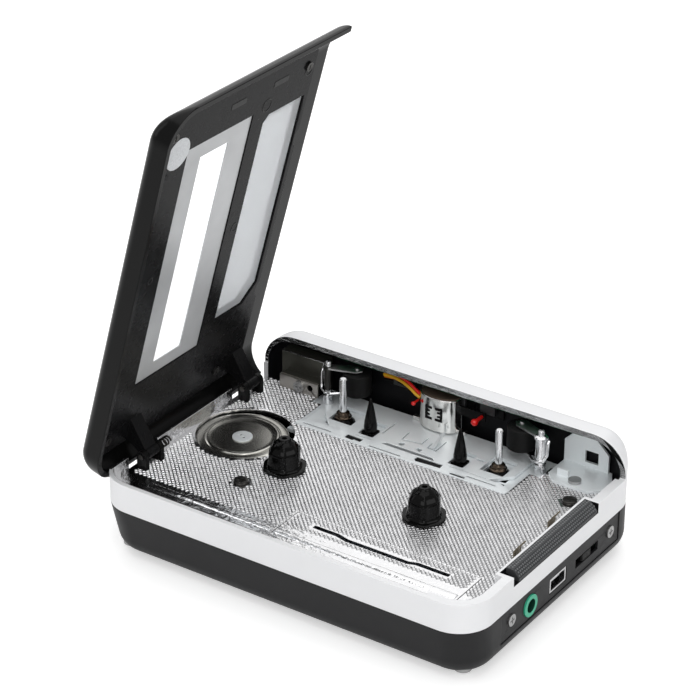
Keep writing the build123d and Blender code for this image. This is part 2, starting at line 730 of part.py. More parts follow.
def belt_loop(offset):
    """Belt line round the pulley and the right wheel, bent outwards by the left wheel."""
    centres = [(motor_x, motor_y), (capstan_xs[1], capstan_y), (capstan_xs[0], capstan_y)]
    gap = 0.05
    wheel = flywheel_radius + gap
    radii = [pulley_radius + gap + offset, wheel + offset, wheel + belt_thick - offset]
    turns = [1, 1, -1]
    spans = []
    for i in range(3):
        j = (i + 1) % 3
        (x0, y0), (x1, y1) = centres[i], centres[j]
        reach = hypot(x1 - x0, y1 - y0)
        heading = atan2(y1 - y0, x1 - x0)
        signed0, signed1 = turns[i] * radii[i], turns[j] * radii[j]
        tilt = asin((signed0 - signed1) / reach)
        normal = heading - pi / 2 + tilt
        start = (x0 + signed0 * cos(normal), y0 + signed0 * sin(normal))
        end = (x1 + signed1 * cos(normal), y1 + signed1 * sin(normal))
        spans.append((start, end))
    edges = []
    for i in range(3):
        start, end = spans[i]
        edges.append(Line(start, end))
        j = (i + 1) % 3
        cx, cy = centres[j]
        nxt = spans[j][0]
        a0 = atan2(end[1] - cy, end[0] - cx)
        a1 = atan2(nxt[1] - cy, nxt[0] - cx)
        sweep = (a1 - a0) % (2 * pi) if turns[j] > 0 else -((a0 - a1) % (2 * pi))
        mid = a0 + sweep / 2
        edges.append(ThreePointArc(end, (cx + radii[j] * cos(mid), cy + radii[j] * sin(mid)), nxt))
    return edges


def make_belt():
    """Flat rubber drive belt."""
    outer = make_face(belt_loop(belt_thick))
    inner = make_face(belt_loop(0))
    return Pos(0, 0, belt_low_z) * extrude(outer - inner, belt_height)


def make_pinch_pins():
    """Two fixed pivot pins of the pinch arms."""
    group = []
    for x in pinch_pin_xs:
        pin = disc(x, pinch_pin_y, pinch_pin_radius, chassis_top_z - chassis_thick, pinch_pin_top_z)
        collar_top_z = roller_low_z - pinch_arm_thick - 0.5
        pin += disc(x, pinch_pin_y, pinch_pin_radius + 0.6, chassis_top_z, collar_top_z)
        group.append(chamfer(pin.edges().group_by(Axis.Z)[-1], 0.2))
    return Compound(children=group)


def make_pinch_arm(pin_x, wheel_x):
    """Two-storey arm that swings a rubber roller to its capstan."""
    angle = degrees(atan2(roller_y - pinch_pin_y, wheel_x - pin_x))
    reach = hypot(wheel_x - pin_x, roller_y - pinch_pin_y)
    width = 2.6
    low = roller_low_z - pinch_arm_thick - 0.25
    high = roller_low_z + roller_height + 0.25
    arm = None
    for z in (low, high):
        leaf = block(0, reach, -width / 2, width / 2, z, z + pinch_arm_thick)
        leaf += disc(0, 0, width / 2 + 0.3, z, z + pinch_arm_thick)
        leaf += disc(reach, 0, width / 2, z, z + pinch_arm_thick)
        arm = leaf if arm is None else arm + leaf
    sleeve = disc(0, 0, width / 2 + 0.3, low, high + pinch_arm_thick)
    axle = disc(reach, 0, 0.7, low, high + pinch_arm_thick + 0.5)
    arm = arm + sleeve + axle
    arm -= disc(0, 0, pinch_pin_radius + run_clear, low - 1, high + 3)
    return Pos(pin_x, pinch_pin_y, 0) * Rot(0, 0, angle) * arm


def make_roller(x):
    """Rubber pinch roller."""
    roller = ring(x, roller_y, roller_radius, 0.7 + run_clear, roller_low_z, roller_low_z + roller_height)
    rims = roller.edges().filter_by(GeomType.CIRCLE).sort_by(SortBy.RADIUS)[-2:]
    return fillet(rims, 0.3)


def make_head_wires():
    """Four insulated leads from the head to the mechanism plate."""
    group = []
    z_plug = 25.6
    for i in range(4):
        x_start = mid_x - head_width / 2 - 0.55
        y = head_face_y + 2.3 + 0.75 * i
        z = z_plug - 0.9 * i + 1.4
        radius = 0.33
        reach = 4.2 + 1.3 * i
        points = [
            (x_start + 0.55, y, z), (x_start - reach * 0.45, y, z + 0.25),
            (x_start - reach, y - 0.15 * i, z - 1.3),
            (x_start - reach - 0.6, y - 0.2 * i, carriage_top_z + 0.02),
        ]
        steps = [Vector(*b) - Vector(*a) for a, b in zip(points, points[1:])]
        bend = []
        for before, after in zip(steps, steps[1:]):
            half_turn = radians(before.get_angle(after)) / 2
            room = 0.45 * min(before.length, after.length)
            bend.append(min(room / max(sin(half_turn) / cos(half_turn), 0.05), 6.0))
        path = FilletPolyline(*points, radius=bend)
        start = Plane(origin=points[0], z_dir=path % 0)
        group.append(sweep(start * Circle(radius), path=path))
    return Compound(children=group)


def make_left_bracket():
    """Sheet metal can and nickel plate at the hinge end of the head bay."""
    x0, x1 = -half_length + 7.8, -half_length + 21.7
    y0, y1 = roof_front_y + 0.6, half_width - roof_wall - 1.5
    can = block(x0, x1, y0, y1, 19.9, 27.1) - block(x0 + 0.8, x1 - 0.8, y0 + 0.8, y1 + 1, 19.0, 26.3)
    left, right = x0 + 2.0, x1 + 0.6
    front_y = roof_front_y - 3.4
    plate = block(left, right, front_y, front_y + 0.8, deck_top_z + 0.05, 22.0)
    web = block(left, right, front_y + 0.7, y0 + 0.1, 21.15, 21.95)
    bracket = can + plate + web
    bracket -= bar_y(left_screw_x, left_screw_z, 1.0, front_y - 1, front_y + 1.8)
    return bracket - bar_y(right - 2.6, 20.3, 0.9, front_y - 1, front_y + 1.8)


def make_right_bracket():
    """Zinc corner bracket with a square hole and a bent tab."""
    y1 = half_width - roof_wall - 0.6
    y0 = y1 - 0.8
    x0, x1 = half_length - 20.7, half_length - 4.7
    z0 = deck_top_z + 0.05
    xb = x1 - 3.0
    outline = [(x0, z0), (x0, 25.0), (x0 + 2.4, 27.4), (xb - 3.6, 27.4), (xb, 23.8), (xb, z0)]
    back = side_slab(outline, y0, y1)
    near_y = roof_front_y - 6.0
    floor_outline = [
        (x0, y1), (x0, near_y + 3.0), (x0 + 3.0, near_y), (x1 - 3.2, near_y), (x1, near_y + 2.6),
        (x1, near_y + 7.6), (x1 - 2.2, y1),
    ]
    foot = slab(floor_outline, z0, z0 + 0.8)
    bracket = back + foot
    bracket -= block(x0 + 6.2, x0 + 10.0, y0 - 1, y1 + 1, 20.2, 23.6)
    bracket += block(x0 + 2.2, x0 + 5.4, near_y + 3.4, near_y + 4.2, z0 + 0.8, z0 + 2.6)
    return bracket


def make_bracket_screws():
    """Screws that hold the corner brackets."""
    y_plate = roof_front_y - 3.4
    x, z = left_screw_x, left_screw_z
    left = bar_y(x, z, 0.95, y_plate - 0.01, y_plate + 2.4)
    left += bar_y(x, z, 1.6, y_plate - 0.8, y_plate)
    left -= block(x - 1.1, x + 1.1, y_plate - 1, y_plate - 0.5, z - 0.2, z + 0.2)
    left -= block(x - 0.2, x + 0.2, y_plate - 1, y_plate - 0.5, z - 1.1, z + 1.1)
    z_foot = deck_top_z + 0.85
    right = disc(half_length - 12.7, roof_front_y - 3.6, 1.7, z_foot, z_foot + 0.8)
    return Compound(children=[left, right])


def make_main_board():
    """Main circuit board beside the battery bay."""
    z0, z1 = board_top_z - board_thick, board_top_z
    x1 = half_length - tray_wall - 0.6
    y0, y1 = panel_y0 + 1.0, panel_y1 - 1.6
    outline = [
        (bay_x1 + 1.6, y0), (x1, y0), (x1, y1), (board_x0, y1),
        (board_x0, bay_y1 + 1.4), (bay_x1 + 1.6, bay_y1 + 1.4),
    ]
    board = slab(outline, z0, z1)
    for x, y in board_post_points:
        board -= disc(x, y, 1.0, z0 - 1, z1 + 1)
    return board


def make_board_parts():
    """Converter chip, crystal and capacitors on the main board."""
    z = board_top_z
    x = board_x0 + 3.6
    group = [
        block(x, x + 5.2, 2.0, 7.2, z, z + 1.3),
        block(x - 1.6, x + 1.4, 10.0, 12.2, z, z + 1.0),
        disc(x + 4.0, 13.4, 1.9, z, z + 4.6),
        disc(x + 4.0, 19.2, 1.9, z, z + 4.6),
    ]
    return Compound(children=group)


def make_usb_socket():
    """Small USB socket on the board, opening through the side insert."""
    x0, x1 = half_length - 6.9, half_length - 0.35
    z0 = port_z - 1.95
    shell = block(x0, x1, usb_y - 3.85, usb_y + 3.85, z0, port_z + 1.95)
    shell -= block(x0 + 1.0, x1 + 1, usb_y - 3.4, usb_y + 3.4, z0 + 0.45, port_z + 1.5)
    shell += block(x0 + 0.8, x1 - 1.0, usb_y - 2.4, usb_y + 2.4, port_z - 0.1, port_z + 0.6)
    shell += block(x0, x0 + 4.0, usb_y - 3.0, usb_y + 3.0, board_top_z, z0 + 0.01)
    return shell


def make_audio_jack():
    """Round audio socket with a coloured collar."""
    x1 = half_length + 0.15
    body = block(half_length - 7.3, half_length - 1.4, jack_y - 3.0, jack_y + 3.0, board_top_z, port_z + 3.0)
    body += bar_x(jack_y, port_z, 2.95, half_length - 1.5, x1)
    return body - bar_x(jack_y, port_z, jack_bore_radius, half_length - 6.1, x1 + 1)


def make_switch_body():
    """Slide switch body on the board."""
    x0, x1 = half_length - 6.7, half_length - 1.5
    body = block(x0, x1, switch_y - 6.2, switch_y + 6.2, board_top_z, port_z + 2.4)
    return body - block(x0 + 1.2, x1 + 1, switch_y - 5.0, switch_y + 5.0, port_z - 1.2, port_z + 1.2)


def make_switch_knob():
    """Sliding knob of the side switch."""
    x0, x1 = half_length - 4.9, half_length - 0.3
    knob = block(x0, x1, switch_y - 2.4, switch_y + 2.4, port_z - 1.0, port_z + 1.0)
    return chamfer(knob.edges().filter_by(Axis.Z).group_by(Axis.X)[-1], 0.4)


def make_latch():
    """Ribbed slider on the sloping edge of the right rim."""
    top = band_top_z + 0.1
    outer_x = half_length - 0.1
    outline = [
        (latch_inner_x, top), (latch_inner_x, band_top_z - latch_slot_depth + 0.05),
        (half_length - 1.2, latch_edge_z - latch_edge_thick + 0.05),
        (outer_x, latch_edge_z - latch_edge_thick + 0.05), (outer_x, latch_edge_z), (latch_slope_x, top),
    ]
    pad = prism_y(outline, latch_y0, latch_y1)
    groove_depth = 0.12
    groove = [
        (latch_slope_x, top - groove_depth), (outer_x, latch_edge_z - groove_depth),
        (outer_x + 1, latch_edge_z + 1), (latch_slope_x, top + 1),
    ]
    ridge_pitch = 1.2
    count = int((latch_y1 - latch_y0 - 1.0) / ridge_pitch)
    for i in range(count):
        y = latch_y0 + 0.8 + i * ridge_pitch
        pad -= prism_y(groove, y, y + 0.35)
    return pad


def make_button(x):
    """Push button in the back face, with an inner collar."""
    w = button_width / 2
    y_out = half_width + button_proud
    y_in = half_width - roof_wall
    cap = block(x - w, x + w, y_in - 0.55, y_out, button_low_z, button_high_z)
    cap = fillet(cap.edges().group_by(Axis.Y)[-1], 0.3)
    return cap + block(x - w - 0.8, x + w + 0.8, y_in - 0.75, y_in - 0.05, button_low_z - 0.7, button_high_z)


def make_button_board():
    """Narrow circuit board under the roof."""
    x0, x1 = button_xs[0] - 18.8, button_xs[-1] + 29.8
    return block(x0, x1, roof_front_y + 1.6, switch_front_y, button_board_z, button_board_z + 1.0)


def make_button_switches():
    """Tact switches on the underside of the button board."""
    group = []
    for x in button_xs:
        y0 = switch_front_y - 1.1
        group.append(block(x - 2.2, x + 2.2, y0, switch_front_y, button_low_z + 0.6, button_board_z))
    return Compound(children=group)


def make_hinge_ears():
    """Four ears on the case that hold the hinge pins."""
    group = []
    for y0, y1 in (front_arm_y, back_arm_y):
        for a, b in ((y0 - ear_gap - ear_thick, y0 - ear_gap), (y1 + ear_gap, y1 + ear_gap + ear_thick)):
            ear = block(hinge_x - 1.5, hinge_x + 1.5, a, b, deck_top_z, hinge_z)
            ear += bar_y(hinge_x, hinge_z, 1.5, a, b)
            ear -= bar_y(hinge_x, hinge_z, hinge_pin_radius, a - 1, b + 1)
            group.append(ear)
    return Compound(children=group)


def make_hinge_pins():
    """Two steel hinge pins."""
    group = []
    for y0, y1 in (front_arm_y, back_arm_y):
        a, b = y0 - ear_gap - ear_thick - 0.3, y1 + ear_gap + ear_thick + 0.3
        group.append(bar_y(hinge_x, hinge_z, hinge_pin_radius, a, b))
    return Compound(children=group)


# Lid pieces
def lid_plan(inset, z0, z1):
    """Closed lid outline with round front corners."""
    x0, x1 = lid_x0 + inset, lid_x1 - inset
    y0, y1 = -half_width + inset, lid_back_y
    body = block(x0, x1, y0, y1, z0, z1)
    radius = plan_radius - inset
    upright = body.edges().filter_by(Axis.Z)
    front = [edge for edge in upright if edge.center().Y < 0]
    return fillet(front, radius)


def make_lid_shell():
    """Black outer lid with both ends rounded down and two window openings."""
    outer = lid_plan(0, lid_rim_z, roof_top_z + 1)
    outer &= arched(0, lid_x0 - 0.9, lid_x1 + 0.9, -half_width - 1, lid_back_y, 0)
    top_edges = outer.edges().filter_by(Axis.X).group_by(Axis.Z)[-1]
    front = [edge for edge in top_edges if edge.center().Y < 0]
    outer = fillet(front, lid_front_round)
    inner = lid_plan(lid_wall, lid_rim_z - 1, roof_top_z - lid_wall)
    inner &= arched(lid_wall, lid_x0 - 0.9, lid_x1 + 0.9, -half_width - 1, lid_back_y, 0)
    inner = inner + block(lid_x0 + 12, lid_x1 - 12, 10, lid_back_y + 1, lid_rim_z - 1, roof_top_z - lid_wall)
    shell = outer - inner
    shell -= block(
        window_x0 + lens_border, window_x1 - lens_border,
        window_y0 + lens_border, window_y1 - lens_border, frame_low_z, roof_top_z + 1,
    )
    shell -= head_window_prism(lens_border, frame_low_z, roof_top_z + 1)
    return shell


def head_window_prism(inset, z0, z1):
    """Head window outline with two chamfered corners."""
    x0, x1 = head_window_x0 + inset, head_window_x1 - inset
    y0, y1 = head_window_y0 + inset, head_window_y1 - inset
    c, d = window_chamfer, window_small_chamfer
    outline = [(x0, y0), (x1 - d, y0), (x1, y0 + d), (x1, y1), (x0 + c, y1), (x0, y1 - c)]
    return slab(outline, z0, z1)


def make_lid_frame():
    """Inner frame of the lid with the window seats and both hinge arms."""
    z0, z1 = frame_low_z, roof_top_z - lid_wall
    plate = block(frame_x0, frame_x1, frame_y0, frame_y1, z0, z1)
    plate &= lid_plan(lid_wall + 0.3, z0, z1)
    plate &= arched(lid_wall + 0.01, lid_x0 - 0.9, lid_x1 + 0.9, -half_width, half_width, 0)
    plate -= block(window_x0, window_x1, window_y0, window_y1, z0 - 1, z1 + 1)
    plate -= head_window_prism(0, z0 - 1, z1 + 1)
    for x in capstan_xs:
        plate -= disc(x, capstan_y, 3.0, z0 - 1, z1 - 0.6)
    for y0, y1 in (front_arm_y, back_arm_y):
        outline = [
            (frame_x0 + 0.4, z0 + 0.4), (frame_x0 + 0.4, z0 - 1.4),
            (hinge_x - knuckle_radius + 0.1, hinge_z + 0.3), (hinge_x + knuckle_radius - 0.05, hinge_z + 0.3),
            (frame_x0 + 6.0, z0 - 1.2), (frame_x0 + 7.5, z0 + 0.4),
        ]
        arm = side_slab(outline, y0, y1) + bar_y(hinge_x, hinge_z, knuckle_radius, y0, y1)
        arm -= bar_y(hinge_x, hinge_z, hinge_pin_radius + run_clear, y0 - 1, y1 + 1)
        plate += arm
    return plate


def make_cassette_window():
    """Clear stepped window over the cassette."""
    g = lens_gap
    seat = block(window_x0 + g, window_x1 - g, window_y0 + g, window_y1 - g, lens_z, roof_top_z - lid_wall)
    b = lens_border + g
    return seat + block(window_x0 + b, window_x1 - b, window_y0 + b, window_y1 - b, lens_z, roof_top_z - 0.15)


def make_window_trim():
    """Silver frame on the inner side of the cassette window."""
    g = lens_gap
    z0, z1 = lens_z - 0.3, lens_z
    trim = block(window_x0 + g, window_x1 - g, window_y0 + g, window_y1 - g, z0, z1)
    return trim - block(clear_x0, clear_x1, clear_y0, clear_y1, z0 - 1, z1 + 1)


def make_head_window():
    """Pale translucent window over the tape head."""
    seat = head_window_prism(lens_gap, lens_z, roof_top_z - lid_wall)
    return seat + head_window_prism(lens_border + lens_gap, lens_z, roof_top_z - 0.15)


def make_lid_screws():
    """Small screws that hold the inner frame to the lid."""
    group = []
    x0, x1, y0 = frame_x0 + 4.4, frame_x1 - 4.5, frame_y0 + 4.2
    for x, y in ((x0, y0), (x1, y0), (x0, frame_y1 - 11.7), (x1, frame_y1 - 3.1)):
        head = disc(x, y, 1.3, frame_low_z - 0.5, frame_low_z)
        head -= block(x - 0.8, x + 0.8, y - 0.15, y + 0.15, frame_low_z - 1, frame_low_z - 0.3)
        group.append(head)
    return Compound(children=group)


def make_lid_spring():
    """Short torsion spring coil on the front hinge pin."""
    wire = 0.25
    coil_radius = knuckle_radius - 0.45
    y0 = front_arm_y[1] + ear_gap + ear_thick + 0.35
    turns = 3
    pitch = 0.95
    helix = Helix(pitch, pitch * turns, coil_radius, center=(0, 0, 0), direction=(0, 0, 1))
    start = Plane(origin=helix @ 0, z_dir=helix % 0)
    coil = sweep(start * Circle(wire), path=helix)
    coil = Pos(hinge_x, y0 + pitch * turns + wire, hinge_z) * Rot(90, 0, 0) * coil
    return coil


def fit_print():
    """Print the figures that the joints use."""
    for pin_x, wheel_x, shaft_x in zip(pinch_pin_xs, roller_xs, capstan_xs):
        reach = hypot(wheel_x - pin_x, roller_y - pinch_pin_y)
        apart = hypot(shaft_x - pin_x, capstan_y - pinch_pin_y)
        touch = roller_radius + capstan_radius + 0.1
        start = atan2(roller_y - pinch_pin_y, wheel_x - pin_x)
        toward = atan2(capstan_y - pinch_pin_y, shaft_x - pin_x)
        half = acos((reach ** 2 + apart ** 2 - touch ** 2) / (2 * reach * apart))
        now = abs((toward - start + pi) % (2 * pi) - pi)
        print("pinch pin", round(pin_x, 2), "swing", round(degrees(now - half), 2), "reach", round(reach, 2))
    print("belt ratio", round((flywheel_radius + belt_thick / 2) / (pulley_radius + belt_thick / 2), 4))


pieces = {
    "bottom_tray": make_bottom_tray(),
    "side_band": make_side_band(),
    "deck_plate": make_deck(),
    "port_panel": make_port_panel(),
    "port_screws": make_port_screws(),
    "deck_screws": make_deck_screws(),
    "cassette_springs": make_leaf_springs(),
    "battery_cover": make_battery_cover(),
    "battery_cells": make_battery_cells(),
    "battery_contacts": make_battery_contacts(),
    "case_screws": make_case_screws(),
    "rubber_feet": make_feet(),
    "head_chassis": make_head_chassis(),
    "guide_pins": make_guide_pins(),
    "capstan_bushes": make_capstan_bushes(),
    "head_carriage": make_carriage(),
    "tape_head": make_tape_head(),
    "head_wires": make_head_wires(),
    "reel_axles": make_reel_axles(),
    "drive_motor": make_motor(),
    "motor_pulley": make_motor_pulley(),
    "drive_belt": make_belt(),
    "pinch_pins": make_pinch_pins(),
    "left_bracket": make_left_bracket(),
    "right_bracket": make_right_bracket(),
    "bracket_screws": make_bracket_screws(),
    "main_board": make_main_board(),
    "board_parts": make_board_parts(),
    "usb_socket": make_usb_socket(),
    "audio_jack": make_audio_jack(),
    "side_switch": make_switch_body(),
    "switch_knob": make_switch_knob(),
    "latch_slider": make_latch(),
    "button_board": make_button_board(),
    "button_switches": make_button_switches(),
    "hinge_ears": make_hinge_ears(),
    "hinge_pins": make_hinge_pins(),
    "lid_shell": flip_open(make_lid_shell()),
    "lid_frame": flip_open(make_lid_frame()),
    "cassette_window": flip_open(make_cassette_window()),
    "window_trim": flip_open(make_window_trim()),
    "head_window": flip_open(make_head_window()),
    "lid_screws": flip_open(make_lid_screws()),
    "lid_spring": make_lid_spring(),
}
for i, side in enumerate(side_names):
    pieces[f"reel_spindle_{side}"] = make_spindle(reel_xs[i])
    pieces[f"reel_gear_{side}"] = make_reel_gear(reel_xs[i])
    pieces[f"flywheel_{side}"] = make_flywheel(capstan_xs[i])
    pieces[f"capstan_{side}"] = make_capstan(capstan_xs[i])
    pieces[f"pinch_arm_{side}"] = make_pinch_arm(pinch_pin_xs[i], roller_xs[i])
    pieces[f"pinch_roller_{side}"] = make_roller(roller_xs[i])
for i, x in enumerate(button_xs):
    pieces[f"control_button_{i + 1}"] = make_button(x)

fit_print()
os.makedirs("parts", exist_ok=True)
for name, shape in pieces.items():
    export_step(Pos(frame_shift_x, frame_shift_y, 0) * shape, f"parts/{name}.step")
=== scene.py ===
import json
import logging
import math
from dataclasses import dataclass
from enum import Enum

import bmesh
import bpy
from mathutils import Matrix, Vector

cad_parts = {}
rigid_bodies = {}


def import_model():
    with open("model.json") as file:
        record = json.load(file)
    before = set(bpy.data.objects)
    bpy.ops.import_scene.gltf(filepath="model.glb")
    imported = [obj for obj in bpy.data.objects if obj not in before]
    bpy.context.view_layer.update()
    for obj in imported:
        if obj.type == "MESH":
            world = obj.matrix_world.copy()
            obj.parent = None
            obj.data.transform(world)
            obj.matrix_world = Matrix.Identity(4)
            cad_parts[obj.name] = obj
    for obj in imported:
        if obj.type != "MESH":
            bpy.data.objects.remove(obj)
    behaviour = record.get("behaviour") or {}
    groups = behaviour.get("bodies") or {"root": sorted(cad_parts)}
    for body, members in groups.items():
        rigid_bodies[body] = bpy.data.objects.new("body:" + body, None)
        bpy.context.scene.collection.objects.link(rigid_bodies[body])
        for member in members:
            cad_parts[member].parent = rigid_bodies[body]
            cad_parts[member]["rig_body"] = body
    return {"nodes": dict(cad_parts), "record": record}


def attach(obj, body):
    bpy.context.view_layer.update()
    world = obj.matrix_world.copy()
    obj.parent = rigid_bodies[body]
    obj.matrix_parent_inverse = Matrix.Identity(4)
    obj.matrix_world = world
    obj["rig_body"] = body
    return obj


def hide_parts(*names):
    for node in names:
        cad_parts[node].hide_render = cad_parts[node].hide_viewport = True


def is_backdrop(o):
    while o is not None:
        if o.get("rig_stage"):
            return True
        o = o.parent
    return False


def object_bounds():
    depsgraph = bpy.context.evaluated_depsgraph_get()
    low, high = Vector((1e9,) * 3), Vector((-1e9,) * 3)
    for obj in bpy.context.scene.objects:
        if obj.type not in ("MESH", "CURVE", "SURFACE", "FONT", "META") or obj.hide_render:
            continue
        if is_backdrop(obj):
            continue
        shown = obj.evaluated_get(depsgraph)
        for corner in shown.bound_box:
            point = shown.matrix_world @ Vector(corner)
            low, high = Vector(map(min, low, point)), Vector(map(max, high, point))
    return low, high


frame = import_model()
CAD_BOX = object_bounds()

LOG = logging.getLogger("cassette_player")
MM = 0.001
MERGE_MM = 0.002
PART_MERGE_MM = 0.001
CAD_MERGE_M = 1e-6
FLAT_DEG = 0.3
MOST_CORNERS = 8
CORNER_DEG = 32.0
BEVEL_EXTRA_DEG = 3.0
LEAST_ROUGHNESS = 0.02
CASE_SHIFT = Vector((1.265, -0.25, 0.0))
TO_ROW_FRAME = Matrix.Scale(MM, 4) @ Matrix.Translation(CASE_SHIFT)
Point2 = tuple[float, float]
Point3 = tuple[float, float, float]


class Body(str, Enum):
    """Moving groups that pieces ride on."""

    BASE = "base"
    HEAD = "head_slide"
    COVER = "battery_cover"


class Along(Enum):
    """Axis that a profile is drawn out along."""

    X = 0
    Y = 1
    Z = 2


# Node trees and finishes
def socket_in(tree: bpy.types.NodeTree, name: str, kind: str, value: float | Point3 | None = None) -> None:
    """Adds a named input to a node group.

    Args:
        tree: The group.
        name: The input's name.
        kind: The socket type, without its prefix.
        value: The value it starts with.
    """
    made = tree.interface.new_socket(name=name, in_out="INPUT", socket_type="NodeSocket" + kind)
    if value is not None:
        made.default_value = value


def socket_out(tree: bpy.types.NodeTree, name: str, kind: str) -> None:
    """Adds a named output to a node group."""
    tree.interface.new_socket(name=name, in_out="OUTPUT", socket_type="NodeSocket" + kind)


def fill(node: bpy.types.Node, values: dict[str | int, object]) -> None:
    """Sets a node's inputs by name or number."""
    for key, value in values.items():
        node.inputs[key].default_value = value


class Graph:
    """Short calls that build a node tree."""

    def __init__(self, tree: bpy.types.NodeTree) -> None:
        """Starts on a tree."""
        self.tree = tree

    def add(
        self, kind: str, operation: str = "", values: dict[str | int, object] | None = None,
    ) -> bpy.types.Node:
        """Adds a node.

        Args:
            kind: Its type.
            operation: Its operation, if it has one.
            values: Values of its inputs, by name or number.

        Returns:
            The new node.
        """
        node = self.tree.nodes.new(kind)
        if operation:
            node.operation = operation
        fill(node, values or {})
        return node

    def join(self, *rows: tuple[bpy.types.Node, str | int, bpy.types.Node, str | int]) -> None:
        """Links nodes. Each row holds a node, its output, the next node and its input."""
        for start, output, end, entry in rows:
            self.tree.links.new(start.outputs[output], end.inputs[entry])


class SurfaceGroup:
    """Shared shader group with the uneven tone, polish, grain and scratches of a used surface."""

    tree: bpy.types.NodeTree | None = None

    @classmethod
    def get(cls) -> bpy.types.NodeTree:
        """Returns the group, and builds it the first time."""
        cls.tree = cls.tree or cls.build()
        return cls.tree

    @staticmethod
    def build() -> bpy.types.NodeTree:
        """Builds the group.

        Returns:
            A node tree with the outputs Tone, Polish, Grain and Scratches.
        """
        tree = bpy.data.node_groups.new("used_surface", "ShaderNodeTree")
        socket_in(tree, "Vector", "Vector")
        for name, size in (("Tone size", 6.0), ("Grain size", 0.2), ("Scratch size", 3.0)):
            socket_in(tree, name, "Float", size)
        for name in ("Tone", "Polish", "Grain", "Scratches"):
            socket_out(tree, name, "Float")
        graph = Graph(tree)
        source, out = graph.add("NodeGroupInput"), graph.add("NodeGroupOutput")

        def noise_of(
            size: str, factor: float, detail: float, place: bpy.types.Node = source,
        ) -> bpy.types.Node:
            """Adds a noise at a size in millimetres and returns its node."""
            divide = graph.add("ShaderNodeMath", "DIVIDE", {0: factor / MM})
            made = graph.add("ShaderNodeTexNoise", values={"Detail": detail})
            graph.join(
                (source, size, divide, 1), (divide, 0, made, "Scale"), (place, "Vector", made, "Vector"),
            )
            return made

        stretch = graph.add(
            "ShaderNodeMapping", values={"Scale": (1.0, 9.0, 5.0), "Rotation": (0.3, 0.5, 0.6)},
        )
        ramp = graph.add("ShaderNodeValToRGB")
        for element, place in zip(ramp.color_ramp.elements, (0.60, 0.68)):
            element.position = place
        graph.join(
            (noise_of("Tone size", 1.0, 3.0), "Fac", out, "Tone"),
            (noise_of("Tone size", 2.7, 5.0), "Fac", out, "Polish"),
            (noise_of("Grain size", 1.0, 2.0), "Fac", out, "Grain"), (source, "Vector", stretch, "Vector"),
            (noise_of("Scratch size", 1.0, 6.0, stretch), "Fac", ramp, "Fac"),
            (ramp, "Color", out, "Scratches"),
        )
        return tree


@dataclass(frozen=True)
class Finish:
    """One finish. Sizes are in millimetres."""

    name: str
    colour: Point3
    roughness: float
    metallic: float = 0.0
    tone: float = 0.06
    tone_size: float = 7.0
    polish: float = 0.06
    grain: float = 0.12
    grain_size: float = 0.2
    grain_depth: float = 0.02
    stretch: Point3 = (1.0, 1.0, 1.0)
    scratches: float = 0.0
    scratch_size: float = 3.0
    coat: float = 0.0
    coat_roughness: float = 0.06
    specular: float = 0.5
    transmission: float = 0.0
    ior: float = 1.5

    def material(self) -> bpy.types.Material:
        """Returns the finish's material, and builds it the first time."""
        found = bpy.data.materials.get("finish_" + self.name)
        return found or self.build()

    def build(self) -> bpy.types.Material:
        """Builds the node material.

        Returns:
            The new material.
        """
        made = bpy.data.materials.new("finish_" + self.name)
        made.use_nodes = True
        graph, shader = Graph(made.node_tree), made.node_tree.nodes["Principled BSDF"]
        coords = graph.add("ShaderNodeTexCoord")
        mapping = graph.add("ShaderNodeMapping", values={"Scale": self.stretch})
        group = graph.add("ShaderNodeGroup")
        group.node_tree = SurfaceGroup.get()
        fill(
            group,
            {"Tone size": self.tone_size, "Grain size": self.grain_size, "Scratch size": self.scratch_size}
        )
        mix = graph.add("ShaderNodeMix")
        mix.data_type = "RGBA"
        dark = [c * (1 - self.tone) for c in self.colour]
        light = [min(1.0, c * (1 + self.tone)) for c in self.colour]
        fill(mix, {"A": (*dark, 1), "B": (*light, 1)})
        smoothest = max(LEAST_ROUGHNESS, self.roughness - self.polish)
        spread = graph.add(
            "ShaderNodeMapRange", values={"To Min": smoothest, "To Max": self.roughness + self.polish},
        )
        bump = graph.add("ShaderNodeBump", values={"Strength": self.grain, "Distance": self.grain_depth * MM})
        graph.join(
            (coords, "Object", mapping, "Vector"), (mapping, "Vector", group, "Vector"),
            (group, "Tone", mix, "Factor"), (mix, "Result", shader, "Base Color"),
            (group, "Polish", spread, "Value"),
            (group, "Grain", bump, "Height"), (bump, "Normal", shader, "Normal"),
        )
        rough = spread
        if self.scratches:
            rough = graph.add("ShaderNodeMath", "MULTIPLY_ADD", {1: self.scratches})
            graph.join((group, "Scratches", rough, 0), (spread, "Result", rough, 2))
        graph.join((rough, 0, shader, "Roughness"))
        fill(shader, {
            "Metallic": self.metallic, "Coat Weight": self.coat, "Coat Roughness": self.coat_roughness,
            "Specular IOR Level": self.specular, "Transmission Weight": self.transmission, "IOR": self.ior,
        })
        return made


